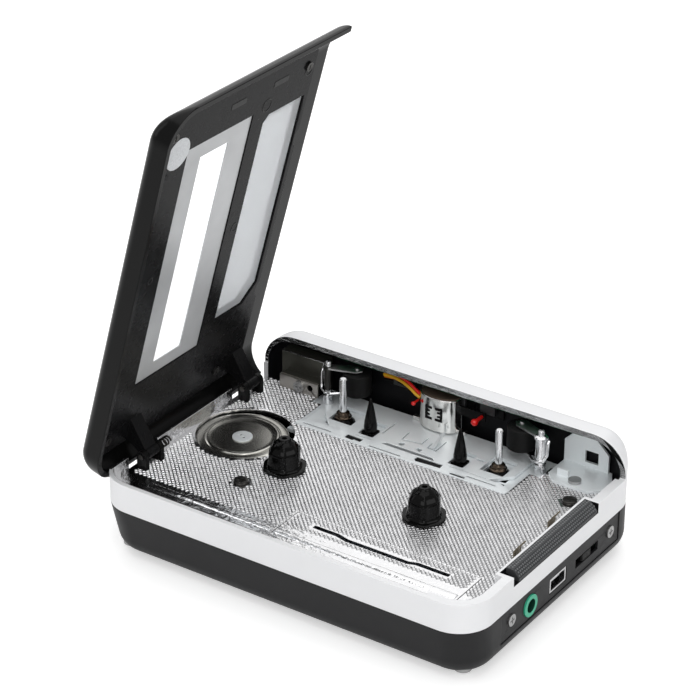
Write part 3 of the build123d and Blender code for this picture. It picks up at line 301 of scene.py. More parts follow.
TRAY_BLACK = Finish(
    "tray_black", (0.013, 0.013, 0.014), 0.44, grain=0.45, grain_size=0.28, grain_depth=0.025, tone=0.12,
    specular=0.26,
)
BAND_SILVER = Finish(
    "band_silver", (0.92, 0.925, 0.94), 0.36, metallic=0.1, grain=0.1, grain_size=0.12, tone=0.015, coat=0.3,
)
INNER_BLACK = Finish("inner_black", (0.006, 0.006, 0.007), 0.36, grain=0.3, grain_size=0.5, specular=0.1)
EDGE_CHROME = Finish(
    "rough_plated_edge", (0.42, 0.425, 0.43), 0.16, metallic=1.0, tone=0.9, tone_size=1.5, polish=0.12,
    grain=1.0, grain_size=1.1, grain_depth=0.6, stretch=(0.25, 1.0, 1.6),
)
DECK_CHROME = Finish(
    "deck_chrome", (0.86, 0.86, 0.87), 0.27, metallic=1.0, tone=0.1, polish=0.1, scratches=0.08,
)
# Dark metal for the lozenges between the knurl studs: painted shade in the gaps of the knurl.
DECK_GAP_SHADE = Finish("deck_gap_painted_shade", (0.19, 0.19, 0.195), 0.35, metallic=1.0, tone=0.3, tone_size=3.0)
DECK_FOIL = Finish(
    "deck_foil", (0.90, 0.90, 0.91), 0.17, metallic=1.0, grain=0.9, grain_size=1.4, grain_depth=0.16,
    polish=0.08,
)
ZINC = Finish("zinc_sheet", (0.88, 0.92, 0.95), 0.38, metallic=0.3, tone=0.08, polish=0.1, scratches=0.06)
NICKEL = Finish("nickel_sheet", (0.50, 0.48, 0.45), 0.30, metallic=1.0, tone=0.1, scratches=0.1)
CAN_NICKEL = Finish("can_nickel", (0.50, 0.49, 0.455), 0.24, metallic=1.0, tone=0.02, polish=0.03, grain=0.0)
OLIVE_CAN = Finish("olive_can", (0.10, 0.10, 0.085), 0.36, metallic=0.7, tone=0.2, scratches=0.1)
HEAD_TOP = Finish(
    "brown_head_top", (0.085, 0.06, 0.045), 0.5, metallic=0.4, tone=0.5, tone_size=0.7, grain=0.8,
)
STEEL = Finish("polished_steel", (0.72, 0.72, 0.73), 0.16, metallic=1.0, tone=0.04, scratches=0.05)
DULL_STEEL = Finish("dull_steel", (0.42, 0.42, 0.42), 0.34, metallic=1.0, tone=0.1, scratches=0.1)
DARK_SCREW = Finish("dark_screw", (0.05, 0.048, 0.045), 0.3, metallic=0.9, tone=0.2)
LEAF_BRONZE = Finish("leaf_spring", (0.20, 0.17, 0.12), 0.35, metallic=0.8, tone=0.2)
JACK_DARK = Finish("jack_bore_green", (0.004, 0.05, 0.03), 0.4)
BRONZE = Finish("oiled_bronze", (0.08, 0.06, 0.045), 0.24, metallic=1.0, tone=0.15)
BRASS = Finish("turned_brass", (0.70, 0.52, 0.22), 0.25, metallic=1.0, stretch=(1.0, 1.0, 6.0), scratches=0.1)
GLOSS_BLACK = Finish(
    "gloss_black", (0.003, 0.003, 0.003), 0.12, tone=0.1, polish=0.03, grain=0.03, specular=0.14,
)
SATIN_BLACK = Finish("satin_black", (0.006, 0.006, 0.006), 0.28, tone=0.1, grain=0.15, specular=0.08)
RUBBER = Finish(
    "roller_rubber", (0.010, 0.010, 0.010), 0.5, tone=0.2, grain=0.5, grain_size=0.3, grain_depth=0.04,
    specular=0.12,
)
HEAD_CHROME = Finish("head_chrome", (0.78, 0.77, 0.75), 0.14, metallic=1.0, scratches=0.08)
LID_GLOSS = Finish(
    "lid_gloss", (0.004, 0.004, 0.004), 0.2, polish=0.03, grain=0.04, grain_size=2.5, specular=0.15,
)
LID_INNER = Finish(
    "lid_inner", (0.008, 0.008, 0.0085), 0.26, tone=0.15, polish=0.1, grain=0.12, grain_size=3.0,
    specular=0.09,
)
LID_MARK = Finish("lid_mark", (0.03, 0.03, 0.03), 0.35, specular=0.15)
TRIM_SILVER = Finish(
    "trim_silver", (0.60, 0.61, 0.62), 0.40, metallic=0.35, tone=0.35, tone_size=22.0, grain=0.3,
)
CLEAR = Finish("clear_window", (0.97, 0.98, 0.99), 0.04, polish=0.02, grain=0.0, transmission=1.0, tone=0.0)
FROST = Finish(
    "frosted_window", (0.86, 0.88, 0.90), 0.42, polish=0.05, grain=0.2, transmission=0.55, tone=0.03,
)
BOARD = Finish("green_board", (0.015, 0.16, 0.07), 0.36, tone=0.25, tone_size=2.5, grain=0.4, grain_size=0.6)
CHIP = Finish("moulded_chip", (0.015, 0.015, 0.016), 0.5, grain=0.5)
JACK_GREEN = Finish("jack_green", (0.05, 0.50, 0.30), 0.34, grain=0.1)
RED_WIRE = Finish("red_insulation", (0.75, 0.012, 0.01), 0.3)
YELLOW_WIRE = Finish("yellow_insulation", (0.75, 0.42, 0.02), 0.36)
ORANGE_WIRE = Finish("orange_insulation", (0.62, 0.18, 0.01), 0.36)
CELL_SLEEVE = Finish("cell_sleeve", (0.10, 0.12, 0.15), 0.3, tone=0.2, coat=0.4)
LATCH_GREY = Finish("latch_grey", (0.055, 0.057, 0.06), 0.42, tone=0.15, grain=0.4, specular=0.2)
LATCH_DOT = Finish("latch_dot", (0.16, 0.165, 0.17), 0.4, specular=0.4)
PAPER = Finish("plain_label", (0.74, 0.76, 0.78), 0.45, tone=0.25, tone_size=0.5, grain=0.3)


# Mesh helpers
HINGE = Vector((-50.8, 0.0, 21.8))
LID_OPEN_DEG = 74.5
LID_TURN = (
    Matrix.Translation(HINGE) @ Matrix.Rotation(math.radians(LID_OPEN_DEG), 4, (0.0, -1.0, 0.0))
    @ Matrix.Translation(-HINGE)
)


def link(name: str, data: bpy.types.ID) -> bpy.types.Object:
    """Puts new data in the scene as an object."""
    obj = bpy.data.objects.new(name, data)
    bpy.context.scene.collection.objects.link(obj)
    return obj


class Draft:
    """Collects the faces of one piece, in millimetres about the case centre."""

    def __init__(self) -> None:
        """Starts with an empty mesh."""
        self.bm = bmesh.new()

    def add_faces(self, points: list[Point3], loops: list[list[int]]) -> None:
        """Adds corner points, and faces that name their corners by number."""
        verts = [self.bm.verts.new(p) for p in points]
        for loop in loops:
            self.bm.faces.new([verts[i] for i in loop])

    def prism(self, outline: list[Point2], low: float, high: float, along: Along = Along.Z) -> None:
        """Adds a closed prism.

        Args:
            outline: Corners, in the two axes that are left, in order.
            low: Start along the axis.
            high: End along the axis.
            along: The axis.
        """
        count = len(outline)

        def put(a: float, b: float, c: float) -> Point3:
            """Orders three values for the axis."""
            return {Along.X: (c, a, b), Along.Y: (a, c, b), Along.Z: (a, b, c)}[along]

        points = [put(a, b, place) for place in (low, high) for a, b in outline]
        sides = [[i, (i + 1) % count, count + (i + 1) % count, count + i] for i in range(count)]
        self.add_faces(points, [list(range(count))[::-1], list(range(count, 2 * count))] + sides)

    def block(self, x: Point2, y: Point2, z: Point2) -> None:
        """Adds a block between the given limits."""
        self.prism([(x[0], y[0]), (x[1], y[0]), (x[1], y[1]), (x[0], y[1])], z[0], z[1])

    def lathe(self, profile: list[Point2], centre: Point3, along: Along = Along.Z, sides: int = 48,
              lobes: int = 0, lobe_depth: float = 0.0) -> None:
        """Adds a turned shape.

        Args:
            profile: Radius and place along the axis, from one end to the other.
            centre: Point that the places are counted from.
            along: The axis.
            sides: Faces round it.
            lobes: Waves round the rim, or none.
            lobe_depth: Depth of the waves.
        """
        rings = []
        for radius, place in profile:
            if radius < 1e-6:
                rings.append([self.bm.verts.new(self.turned(0.0, 0.0, place, centre, along))])
                continue
            ring = []
            for i in range(sides):
                a = 2 * math.pi * i / sides
                r = radius - (lobe_depth * (0.5 - 0.5 * math.cos(lobes * a)) if lobes else 0.0)
                point = self.turned(r * math.cos(a), r * math.sin(a), place, centre, along)
                ring.append(self.bm.verts.new(point))
            rings.append(ring)
        self.skin(rings, profile[0] != profile[-1])

    def skin(self, rings: list[list[bmesh.types.BMVert]], capped: bool = True) -> None:
        """Joins rings of points with faces.

        Args:
            rings: The rings in order. A ring of one point is a tip.
            capped: Whether the end rings are closed.
        """
        for low, high in zip(rings, rings[1:]):
            sides = max(len(low), len(high))
            for i in range(sides if sides > 1 else 0):
                j = (i + 1) % sides
                if len(low) == 1:
                    corners = [low[0], high[j], high[i]]
                elif len(high) == 1:
                    corners = [low[i], low[j], high[0]]
                else:
                    corners = [low[i], low[j], high[j], high[i]]
                self.bm.faces.new(corners)
        for ring in (rings[0], rings[-1]):
            if capped and len(ring) > 1:
                self.bm.faces.new(ring)

    @staticmethod
    def turned(a: float, b: float, place: float, centre: Point3, along: Along) -> Point3:
        """Puts a point of a turned shape on its axis."""
        x, y, z = centre
        if along is Along.Z:
            return (x + a, y + b, z + place)
        if along is Along.X:
            return (x + place, y + a, z + b)
        return (x + b, y + place, z + a)

    def rod(self, centre: Point3, radius: float, low: float, high: float, along: Along = Along.Z,
            sides: int = 24, edge: float = 0.0) -> None:
        """Adds a round rod with turned-off edges.

        Args:
            centre: A point of its axis.
            radius: Its radius.
            low: Start along the axis, from the centre.
            high: End along the axis, from the centre.
            along: The axis.
            sides: Faces round it.
            edge: Width of the turned edge.
        """
        profile = [(radius, low), (radius, high)]
        if edge:
            profile = [
                (radius - edge, low), (radius, low + edge), (radius, high - edge), (radius - edge, high),
            ]
        self.lathe(profile, centre, along, sides)

    def tube(self, path: list[Point3], radius: float, sides: int = 10) -> None:
        """Adds a round wire along a path.

        Args:
            path: Points of its middle line.
            radius: Its radius.
            sides: Faces round it.
        """
        points = [Vector(p) for p in path]
        side = (points[1] - points[0]).orthogonal().normalized()
        rings = []
        for i, point in enumerate(points):
            ahead = (points[min(i + 1, len(points) - 1)] - points[max(i - 1, 0)]).normalized()
            side = (side - ahead * side.dot(ahead)).normalized()
            other = ahead.cross(side)
            ring = []
            for k in range(sides):
                a = 2 * math.pi * k / sides
                reach = (side * math.cos(a) + other * math.sin(a)) * radius
                ring.append(self.bm.verts.new(point + reach))
            rings.append(ring)
        self.skin(rings)

    def plate(self, outline: list[Point2], holes: list[list[Point2]], low: float, high: float,
              edge: float = 0.05) -> None:
        """Adds a flat plate with holes and slightly rounded edges.

        Args:
            outline: Its outline.
            holes: Outlines of its holes.
            low: Its underside.
            high: Its top.
            edge: Width of the rounded edge.
        """
        curve = bpy.data.curves.new("plate_line", "CURVE")
        curve.dimensions = "2D"
        curve.fill_mode = "BOTH"
        curve.extrude = (high - low) / 2 - edge
        curve.bevel_depth = edge
        curve.bevel_resolution = 1
        curve.offset = -edge
        for loop in [outline, *holes]:
            spline = curve.splines.new("POLY")
            spline.points.add(len(loop) - 1)
            for point, (x, y) in zip(spline.points, loop):
                point.co = (x, y, 0.0, 1.0)
            spline.use_cyclic_u = True
        holder = bpy.data.objects.new("plate_line", curve)
        mesh = bpy.data.meshes.new_from_object(holder)
        mesh.transform(Matrix.Translation((0.0, 0.0, (low + high) / 2)))
        self.bm.from_mesh(mesh)
        bpy.data.objects.remove(holder)
        bpy.data.curves.remove(curve)
        bpy.data.meshes.remove(mesh)

    def move(self, matrix: Matrix) -> "Draft":
        """Moves all that is drawn so far, and returns the draft."""
        self.bm.transform(matrix)
        return self

    def mesh(self, name: str, matrix: Matrix | None = None) -> bpy.types.Mesh:
        """Ends the draft.

        Args:
            name: Name of the mesh.
            matrix: A last move about the case centre.

        Returns:
            The mesh, in metres in the row's frame, with its faces outwards.
        """
        bmesh.ops.remove_doubles(self.bm, verts=self.bm.verts, dist=MERGE_MM)
        bmesh.ops.recalc_face_normals(self.bm, faces=self.bm.faces)
        mesh = bpy.data.meshes.new(name)
        if matrix is not None:
            self.bm.transform(matrix)
        self.bm.transform(TO_ROW_FRAME)
        self.bm.to_mesh(mesh)
        self.bm.free()
        return mesh

    def piece(self, name: str, body: str, slot: str, finish: Finish, stands_for: tuple[str, ...] = (),
              bevel: float = 0.0, degrees: float = CORNER_DEG) -> None:
        """Ends the draft and puts it in the scene as a piece of one finish, with what add_piece asks for."""
        add_piece(name, self.mesh(name), body, [finish], stands_for, bevel, degrees)


def ease_edges(mesh: bpy.types.Mesh, degrees: float = CORNER_DEG) -> None:
    """Shades a mesh smooth and keeps its real corners sharp.

    Args:
        mesh: The mesh.
        degrees: Least angle of a real corner.
    """
    bm = bmesh.new()
    bm.from_mesh(mesh)
    for face in bm.faces:
        face.smooth = True
    for edge in bm.edges:
        edge.smooth = len(edge.link_faces) == 2 and edge.calc_face_angle(0.0) < math.radians(degrees)
    bm.to_mesh(mesh)
    bm.free()


def add_piece(name: str, mesh: bpy.types.Mesh, body: str, finishes: list[Finish],
              stands_for: tuple[str, ...] = (), bevel: float = 0.0,
              degrees: float = CORNER_DEG) -> bpy.types.Object:
    """Puts a finished piece in the scene.

    Args:
        name: Name of the piece.
        mesh: Its mesh, in metres in the row's frame.
        body: The body that it rides on.
        finishes: Its finishes, one for each material slot of the mesh.
        stands_for: CAD nodes that it stands for.
        bevel: Width of its rounded edges in millimetres.
        degrees: Least angle of a real corner.

    Returns:
        The new object.
    """
    obj = link(name, mesh)
    kept = [face.material_index for face in mesh.polygons]
    mesh.materials.clear()
    for finish in finishes:
        mesh.materials.append(finish.material())
    mesh.polygons.foreach_set("material_index", kept)
    ease_edges(mesh, degrees)
    if bevel:
        round_over = obj.modifiers.new("edges", "BEVEL")
        round_over.width = bevel * MM
        round_over.segments = 2
        round_over.limit_method = "ANGLE"
        round_over.angle_limit = math.radians(degrees + BEVEL_EXTRA_DEG)
        round_over.use_clamp_overlap = False
        round_over.miter_outer = "MITER_ARC"
        round_over.harden_normals = True
    weighted = obj.modifiers.new("even_shading", "WEIGHTED_NORMAL")
    weighted.keep_sharp = True
    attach(obj, body)
    if stands_for:
        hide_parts(*stands_for)
    LOG.info("piece %s on %s, %d faces", name, body, len(mesh.polygons))
    return obj


def cad_copy(node: str) -> bmesh.types.BMesh:
    """Returns a merged copy of a CAD node's mesh, with flat areas joined."""
    bm = bmesh.new()
    bm.from_mesh(frame["nodes"][node].data)
    bmesh.ops.remove_doubles(bm, verts=bm.verts, dist=CAD_MERGE_M)
    flat = math.radians(FLAT_DEG)
    bmesh.ops.dissolve_limit(
        bm, angle_limit=flat, use_dissolve_boundaries=False, verts=bm.verts, edges=bm.edges,
    )
    many = [face for face in bm.faces if len(face.verts) > MOST_CORNERS]
    bmesh.ops.triangulate(bm, faces=many, ngon_method="EAR_CLIP")
    return bm


def slot_of(node: str) -> str:
    """Returns the record's material slot of a CAD node."""
    return next(part["material_slot"] for part in frame["record"]["subparts"] if part["node"] == node)


def dress_node(node: str, finishes: list[Finish], bevel: float = 0.08, pick=None) -> bpy.types.Object:
    """Makes a piece with rounded edges that stands for a CAD node.

    Args:
        node: The node.
        finishes: Its finishes.
        bevel: Width of its rounded edges in millimetres.
        pick: Chooses the finish of a face from its corners, in millimetres about the case centre, and its
            normal.

    Returns:
        The new object.
    """
    bm = cad_copy(node)
    if pick:
        for face in bm.faces:
            corners = [vert.co / MM - CASE_SHIFT for vert in face.verts]
            face.material_index = pick(corners, face.normal)
    mesh = bpy.data.meshes.new(node + "_dressed")
    bm.to_mesh(mesh)
    bm.free()
    body = frame["nodes"][node]["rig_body"]
    return add_piece(node + "_dressed", mesh, body, finishes, (node,), bevel)


def dress_nodes(*rows: tuple[str, list[Finish], float]) -> None:
    """Dresses CAD nodes. Each row holds a node, its finishes and the width of its rounded edges."""
    for row in rows:
        dress_node(*row)


def rounded_loop(x: Point2, y: Point2, radius: float, steps: int = 8) -> list[Point2]:
    """Returns a rectangle with round corners.

    Args:
        x: Its limits along the first axis.
        y: Its limits along the second axis.
        radius: Corner radius.
        steps: Points on each corner.
    """
    loop = []
    corners = ((x[1], y[1], 0), (x[0], y[1], 90), (x[0], y[0], 180), (x[1], y[0], 270))
    for cx, cy, turn in corners:
        sx = -1 if turn in (0, 270) else 1
        sy = -1 if turn in (0, 90) else 1
        for i in range(steps + 1):
            a = math.radians(turn + 90 * i / steps)
            loop.append((cx + sx * radius + radius * math.cos(a), cy + sy * radius + radius * math.sin(a)))
    return loop


def circle(x: float, y: float, radius: float, steps: int = 24) -> list[Point2]:
    """Returns a circle as a loop of points."""
    turns = [2 * math.pi * i / steps for i in range(steps)]
    return [(x + radius * math.cos(a), y + radius * math.sin(a)) for a in turns]


# Geometry Nodes
class SetOnPoints:
    """Geometry Nodes tree that sets a copy of one small part on every point of a mesh."""

    tree: bpy.types.NodeTree | None = None

    @classmethod
    def build(cls) -> bpy.types.NodeTree:
        """Builds the tree once.

        Returns:
            The tree, with the inputs Part, Size, Size change, Seed and Finish.
        """
        if cls.tree:
            return cls.tree
        tree = bpy.data.node_groups.new("set_on_points", "GeometryNodeTree")
        rows = (("Geometry", "Geometry", None), ("Part", "Object", None), ("Size", "Float", 1.0),
                ("Size change", "Float", 0.0), ("Seed", "Int", 7), ("Finish", "Material", None))
        for name, kind, value in rows:
            socket_in(tree, name, kind, value)
        socket_out(tree, "Geometry", "Geometry")
        graph = Graph(tree)
        source, out = graph.add("NodeGroupInput"), graph.add("NodeGroupOutput")
        part = graph.add("GeometryNodeObjectInfo")
        turn = graph.add("GeometryNodeInputNamedAttribute", values={"Name": "turn"})
        turn.data_type = "FLOAT_VECTOR"
        vary = graph.add("FunctionNodeRandomValue")
        vary.data_type = "FLOAT"
        low, high = graph.add("ShaderNodeMath", "SUBTRACT"), graph.add("ShaderNodeMath", "ADD")
        setter, realize = graph.add("GeometryNodeInstanceOnPoints"), graph.add("GeometryNodeRealizeInstances")
        paint = graph.add("GeometryNodeSetMaterial")
        graph.join(
            (source, "Part", part, "Object"), (source, "Size", low, 0), (source, "Size change", low, 1),
            (source, "Size", high, 0), (source, "Size change", high, 1), (low, 0, vary, 2),
            (high, 0, vary, 3), (source, "Seed", vary, "Seed"), (source, "Geometry", setter, "Points"),
            (part, "Geometry", setter, "Instance"), (turn, "Attribute", setter, "Rotation"),
            (vary, 1, setter, "Scale"), (setter, "Instances", realize, "Geometry"),
            (realize, "Geometry", paint, "Geometry"), (source, "Finish", paint, "Material"),
            (paint, "Geometry", out, "Geometry"),
        )
        cls.tree = tree
        return tree

    @classmethod
    def run(cls, name: str, part: bpy.types.Mesh, spots: list[tuple[Point3, Point3]], finish: Finish,
            change: float = 0.0, seed: int = 7) -> bpy.types.Mesh:
        """Sets copies of a part and returns them as one plain mesh.

        Args:
            name: Name of the mesh.
            part: The part, in millimetres about its own foot.
            spots: Place and turn of each copy, in millimetres about the case centre.
            finish: Their finish.
            change: Random change of size.
            seed: Seed of that change.

        Returns:
            The mesh, in metres in the row's frame.
        """
        points = bpy.data.meshes.new(name + "_spots")
        points.from_pydata([spot for spot, _ in spots], [], [])
        turns = points.attributes.new("turn", "FLOAT_VECTOR", "POINT")
        for i, (_, turn) in enumerate(spots):
            turns.data[i].vector = turn
        holder, pattern = link(name + "_spots", points), link(name + "_part", part)
        setter = holder.modifiers.new("set_on_points", "NODES")
        setter.node_group = cls.build()
        values = {
            "Part": pattern, "Size": 1.0, "Size change": change, "Seed": seed, "Finish": finish.material(),
        }
        for item in setter.node_group.interface.items_tree:
            if item.name in values and item.in_out == "INPUT":
                setter[item.identifier] = values[item.name]
        graph = bpy.context.evaluated_depsgraph_get()
        mesh = bpy.data.meshes.new_from_object(holder.evaluated_get(graph))
        for obj in (holder, pattern):
            bpy.data.objects.remove(obj)
        mesh.transform(TO_ROW_FRAME)
        mesh.name = name
        return mesh


def part_mesh(draft: Draft, name: str) -> bpy.types.Mesh:
    """Returns a draft as a small part in millimetres about its own foot."""
    bmesh.ops.remove_doubles(draft.bm, verts=draft.bm.verts, dist=PART_MERGE_MM)
    bmesh.ops.recalc_face_normals(draft.bm, faces=draft.bm.faces)
    mesh = bpy.data.meshes.new(name)
    draft.bm.to_mesh(mesh)
    draft.bm.free()
    return mesh


def screw_head(radius: float, height: float, cross: float) -> bpy.types.Mesh:
    """Returns a domed screw head with a cross recess.

    Args:
        radius: Head radius.
        height: Head height.
        cross: Reach of the cross recess.
    """
    draft = Draft()
    arm = cross * 0.22
    floor = height * 0.45
    outline = [
        (cross, -arm), (cross, arm), (arm, arm), (arm, cross), (-arm, cross), (-arm, arm),
        (-cross, arm), (-cross, -arm), (-arm, -arm), (-arm, -cross), (arm, -cross), (arm, -arm),
    ]
    draft.plate(circle(0, 0, radius * 0.93, 32), [outline], floor, height, 0.03)
    draft.lathe([(radius * 0.6, 0.0), (radius, 0.0), (radius, height * 0.45), (radius * 0.9, height * 0.8)],
                (0, 0, 0), sides=32)
    draft.rod((0, 0, 0), radius * 0.9, 0.0, floor, sides=32)
    return part_mesh(draft, "screw_head")


# Sub-assemblies
@dataclass
class CaseShell:
    """Black tray, silver band and what fixes them."""

    roof_front_y: float = 33.0
    rim_x1: float = 46.0
    rim_y1: float = -20.0
    rim_z: Point2 = (17.9, 21.5)
    slot_x: float = 53.2
    slot_y: Point2 = (-22.0, 19.2)
    slot_z: Point2 = (19.2, 22.05)
    bay_x: Point2 = (-54.4, 55.85)
    bay_back: float = 39.35
    bay_lip: float = 1.1
    inward: float = -0.3
    outward: float = 0.25
    bay_top: float = 30.55
    corner_from: Point2 = (44.0, 31.0)
    corner_rim_z: float = 29.0
    # Crescent of gloss black in the roof's right front corner: painted shade of a recess there.
    shade_centre: Point2 = (47.3, 22.0)
    shade_radii: Point2 = (9.7, 9.75)
    shade_turns: Point2 = (12.0, 78.0)
    shade_steps: int = 12
    shade_swell: float = 1.24
    shade_taper: float = 2.7

    def in_bay(self, p: Vector) -> bool:
        """Says whether a point is inside the roof, over the head bay."""
        across = self.bay_x[0] < p.x < self.bay_x[1] and p.z < self.bay_top
        return across and self.roof_front_y - self.bay_lip < p.y < self.bay_back

    def in_slot(self, p: Vector) -> bool:
        """Says whether a point is in the latch's slot."""
        (front, back), (low, high) = self.slot_y, self.slot_z
        return p.x > self.slot_x and front < p.y < back and low < p.z < high

    def band_finish(self, corners: list[Vector], normal: Vector) -> int:
        """Picks silver, black for linings and the inner rim, or rough plating for the roof's front edge.

        Args:
            corners: Corners of the face.
            normal: Its normal.

        Returns:
            0 for silver, 1 for black, 2 for rough plating.
        """
        middle = sum(corners, Vector()) / len(corners)
        facing = (normal.x * middle.x + normal.y * middle.y) / math.hypot(middle.x, middle.y)
        rim_low, rim_high = self.rim_z
        in_rim = middle.x < self.rim_x1 and middle.y < self.rim_y1 and middle.z > rim_low
        if in_rim and (facing < self.inward or middle.z < rim_high < 22 * normal.z):
            return 1
        if all(map(self.in_slot, corners)) and (normal.z > 0.5 or abs(normal.y) > 0.9 or normal.x > 0.9):
            return 1
        if normal.y < -0.9 and all(abs(p.y - self.roof_front_y) < 0.1 and p.z > 21.9 for p in corners):
            return 2
        outwards = facing > self.outward or (middle.z > self.corner_rim_z and normal.z > 0.2)
        outer_corner = outwards and abs(middle.x) > self.corner_from[0] and middle.y > self.corner_from[1]
        lined = all(map(self.in_bay, corners)) and max(p.y for p in corners) > self.roof_front_y + 0.2
        return 1 if lined and not outer_corner else 0

    def corner_shade(self) -> None:
        """Builds a gloss black crescent in the right end of the roof's front edge, painted shade of a recess
        there.
        """
        (cx, cz), (thin, reach), (first, last) = self.shade_centre, self.shade_radii, self.shade_turns
        steps, middle = self.shade_steps, math.radians((first + last) / 2)
        turns = [math.radians(first + (last - first) * i / steps) for i in range(steps + 1)]
        outer = [(cx + reach * math.cos(a), cz + reach * math.sin(a)) for a in turns]
        inner = [thin - self.shade_swell * math.cos((a - middle) * self.shade_taper) ** 2 for a in turns]
        inside = [(cx + r * math.cos(a), cz + r * math.sin(a)) for r, a in zip(inner, turns)]
        draft = Draft()
        draft.prism(outer + inside[::-1], self.roof_front_y - 0.06, self.roof_front_y + 0.3, Along.Y)
        draft.piece("roof_corner_insert", Body.BASE.value, "gloss_black", GLOSS_BLACK)

    def build(self) -> None:
        """Builds and dresses the shells."""
        dress_node("side_band", [BAND_SILVER, INNER_BLACK, EDGE_CHROME], 0.12, self.band_finish)
        self.corner_shade()
        dress_nodes(("bottom_tray", [TRAY_BLACK], 0.15), ("rubber_feet", [RUBBER], 0.0),
                    ("case_screws", [DULL_STEEL], 0.05))


@dataclass
class Deck:
    """Bright embossed deck with the battery cover."""

    top: float = 18.0
    pitch: float = 1.35
    spread: float = 0.9
    stud: float = 0.2
    flat: float = 0.5
    stud_change: float = 0.05
    gap_shade_lift: float = 0.012
    ridges: tuple[Point3, Point3] = ((-31.4, 1.1, 0.22), (-34.9, 0.9, 0.2))
    ridge_foot: float = 17.98
    deck_ridge_x: Point2 = (-44.5, -6.6)
    cover_ridge_x: Point2 = (-5.0, 47.2)
    cover_x: Point2 = (-6.0, 48.0)
    cover_y: float = -21.0
    cover_seam: float = 0.6
    cover_field_x: Point2 = (-5.0, 47.0)
    cover_field_y: float = -27.0
    grip_x: Point2 = (0.5, 41.7)
    grip_y: Point2 = (-25.9, -23.3)
    field_x: Point2 = (-52.6, 54.4)
    field_y: Point2 = (-37.4, 32.4)
    ridge_y: float = -29.6
    left_ridge: Point2 = (-5.4, -28.4)
    mechanism: tuple[Point2, Point2] = ((33.0, 15.0), (36.0, 27.0))
    corner_from: Point2 = (45.0, 28.5)
    corner_reach: float = 9.2
    reel_gap: float = 4.4
    motor_gap: float = 13.9
    screw_gap: float = 2.7
    screw_places: tuple[Point2, Point2] = ((47.8, 21.4), (-26.2, -17.3))
    rows: int = 90
    columns: int = 60
    reels: tuple[Point2, Point2] = ((-20.95, -5.5), (21.55, -5.5))
    motor: Point2 = (-40.1, 3.5)

    def knurled(self, x: float, y: float) -> bool:
        """Says whether a stud belongs at a place on the deck."""
        if not (self.field_x[0] < x < self.field_x[1] and self.field_y[0] < y < self.field_y[1]):
            return False
        holes = [(self.motor, self.motor_gap)]
        holes += [(place, self.reel_gap) for place in self.reels]
        holes += [(place, self.screw_gap) for place in self.screw_places]
        if any(math.hypot(x - place[0], y - place[1]) < gap for place, gap in holes):
            return False
        if any(abs(x) < half and y > front for half, front in self.mechanism):
            return False
        beyond = (max(abs(x) - self.corner_from[0], 0.0), max(abs(y) - self.corner_from[1], 0.0))
        return math.hypot(*beyond) <= self.corner_reach or (x <= 0 and y >= 0)

    def cover_spot(self, x: float, y: float) -> bool:
        """Says whether a place is on the battery cover."""
        return self.cover_x[0] < x < self.cover_x[1] and y < self.cover_y

    def stud_part(self) -> bpy.types.Mesh:
        """Returns one diamond stud."""
        draft = Draft()
        half = self.pitch * 0.5 * self.spread
        tip = half * self.flat
        base = [(half, 0), (0, half), (-half, 0), (0, -half)]
        points = [(x, y, -0.01) for x, y in base]
        points += [(x * tip / half, y * tip / half, self.stud) for x, y in base]
        draft.add_faces(points, [[i, (i + 1) % 4, 4 + (i + 1) % 4, 4 + i] for i in range(4)] + [[4, 5, 6, 7]])
        return part_mesh(draft, "stud")

    def gap_shade_part(self) -> bpy.types.Mesh:
        """Returns the dark lozenge between the studs, painted shade of the gaps around them."""
        draft = Draft()
        half = self.pitch * 0.5
        corners = [(half, 0), (0, half), (-half, 0), (0, -half)]
        draft.add_faces([(x, y, self.gap_shade_lift) for x, y in corners], [[0, 1, 2, 3]])
        return part_mesh(draft, "gap")

    def left_smooth(self, x: float, y: float, on_cover: bool) -> bool:
        """Says whether a place stays smooth.

        Args:
            x: The place, from left to right.
            y: The place, from front to back.
            on_cover: Whether it is on the battery cover.

        Returns:
            Whether it is by the cover's seam, on its grip or among the ridges.
        """
        seam = self.cover_seam
        beside = self.cover_x[0] - seam < x < self.cover_x[1] + seam
        if beside and self.cover_y - 0.5 < y < self.cover_y + seam:
            return True
        if on_cover:
            grip = self.grip_x[0] < x < self.grip_x[1] and self.grip_y[0] < y < self.grip_y[1]
            return grip or y < self.cover_field_y or not self.cover_field_x[0] <= x <= self.cover_field_x[1]
        among_ridges = y < self.ridge_y or (x < self.left_ridge[0] and y < self.left_ridge[1])
        return among_ridges or (beside and y < self.cover_y)

    def stud_spots(self, on_cover: bool) -> list[tuple[Point3, Point3]]:
        """Returns the places of the studs on the deck or on the battery cover."""
        spots = []
        for row in range(-self.rows, self.rows):
            y = row * self.pitch / 2
            for column in range(-self.columns, self.columns + 1):
                x = (column + 0.5 * (row % 2)) * self.pitch
                wanted = self.knurled(x, y) and self.cover_spot(x, y) == on_cover
                if wanted and not self.left_smooth(x, y, on_cover):
                    spots.append(((x, y, self.top), (0.0, 0.0, 0.0)))
        return spots

    def bands(self, x: Point2, name: str, body: str) -> None:
        """Builds the long pressed ridges along the front edge."""
        draft = Draft()
        for y, wide, tall in self.ridges:
            foot, crest, half = self.ridge_foot, self.top + tall, wide * 0.5
            outline = [(y - wide, foot), (y - half, crest), (y + half, crest), (y + wide, foot)]
            draft.prism(outline, x[0], x[1], Along.X)
        draft.piece(name, body, "deck_chrome", DECK_FOIL, bevel=0.1)

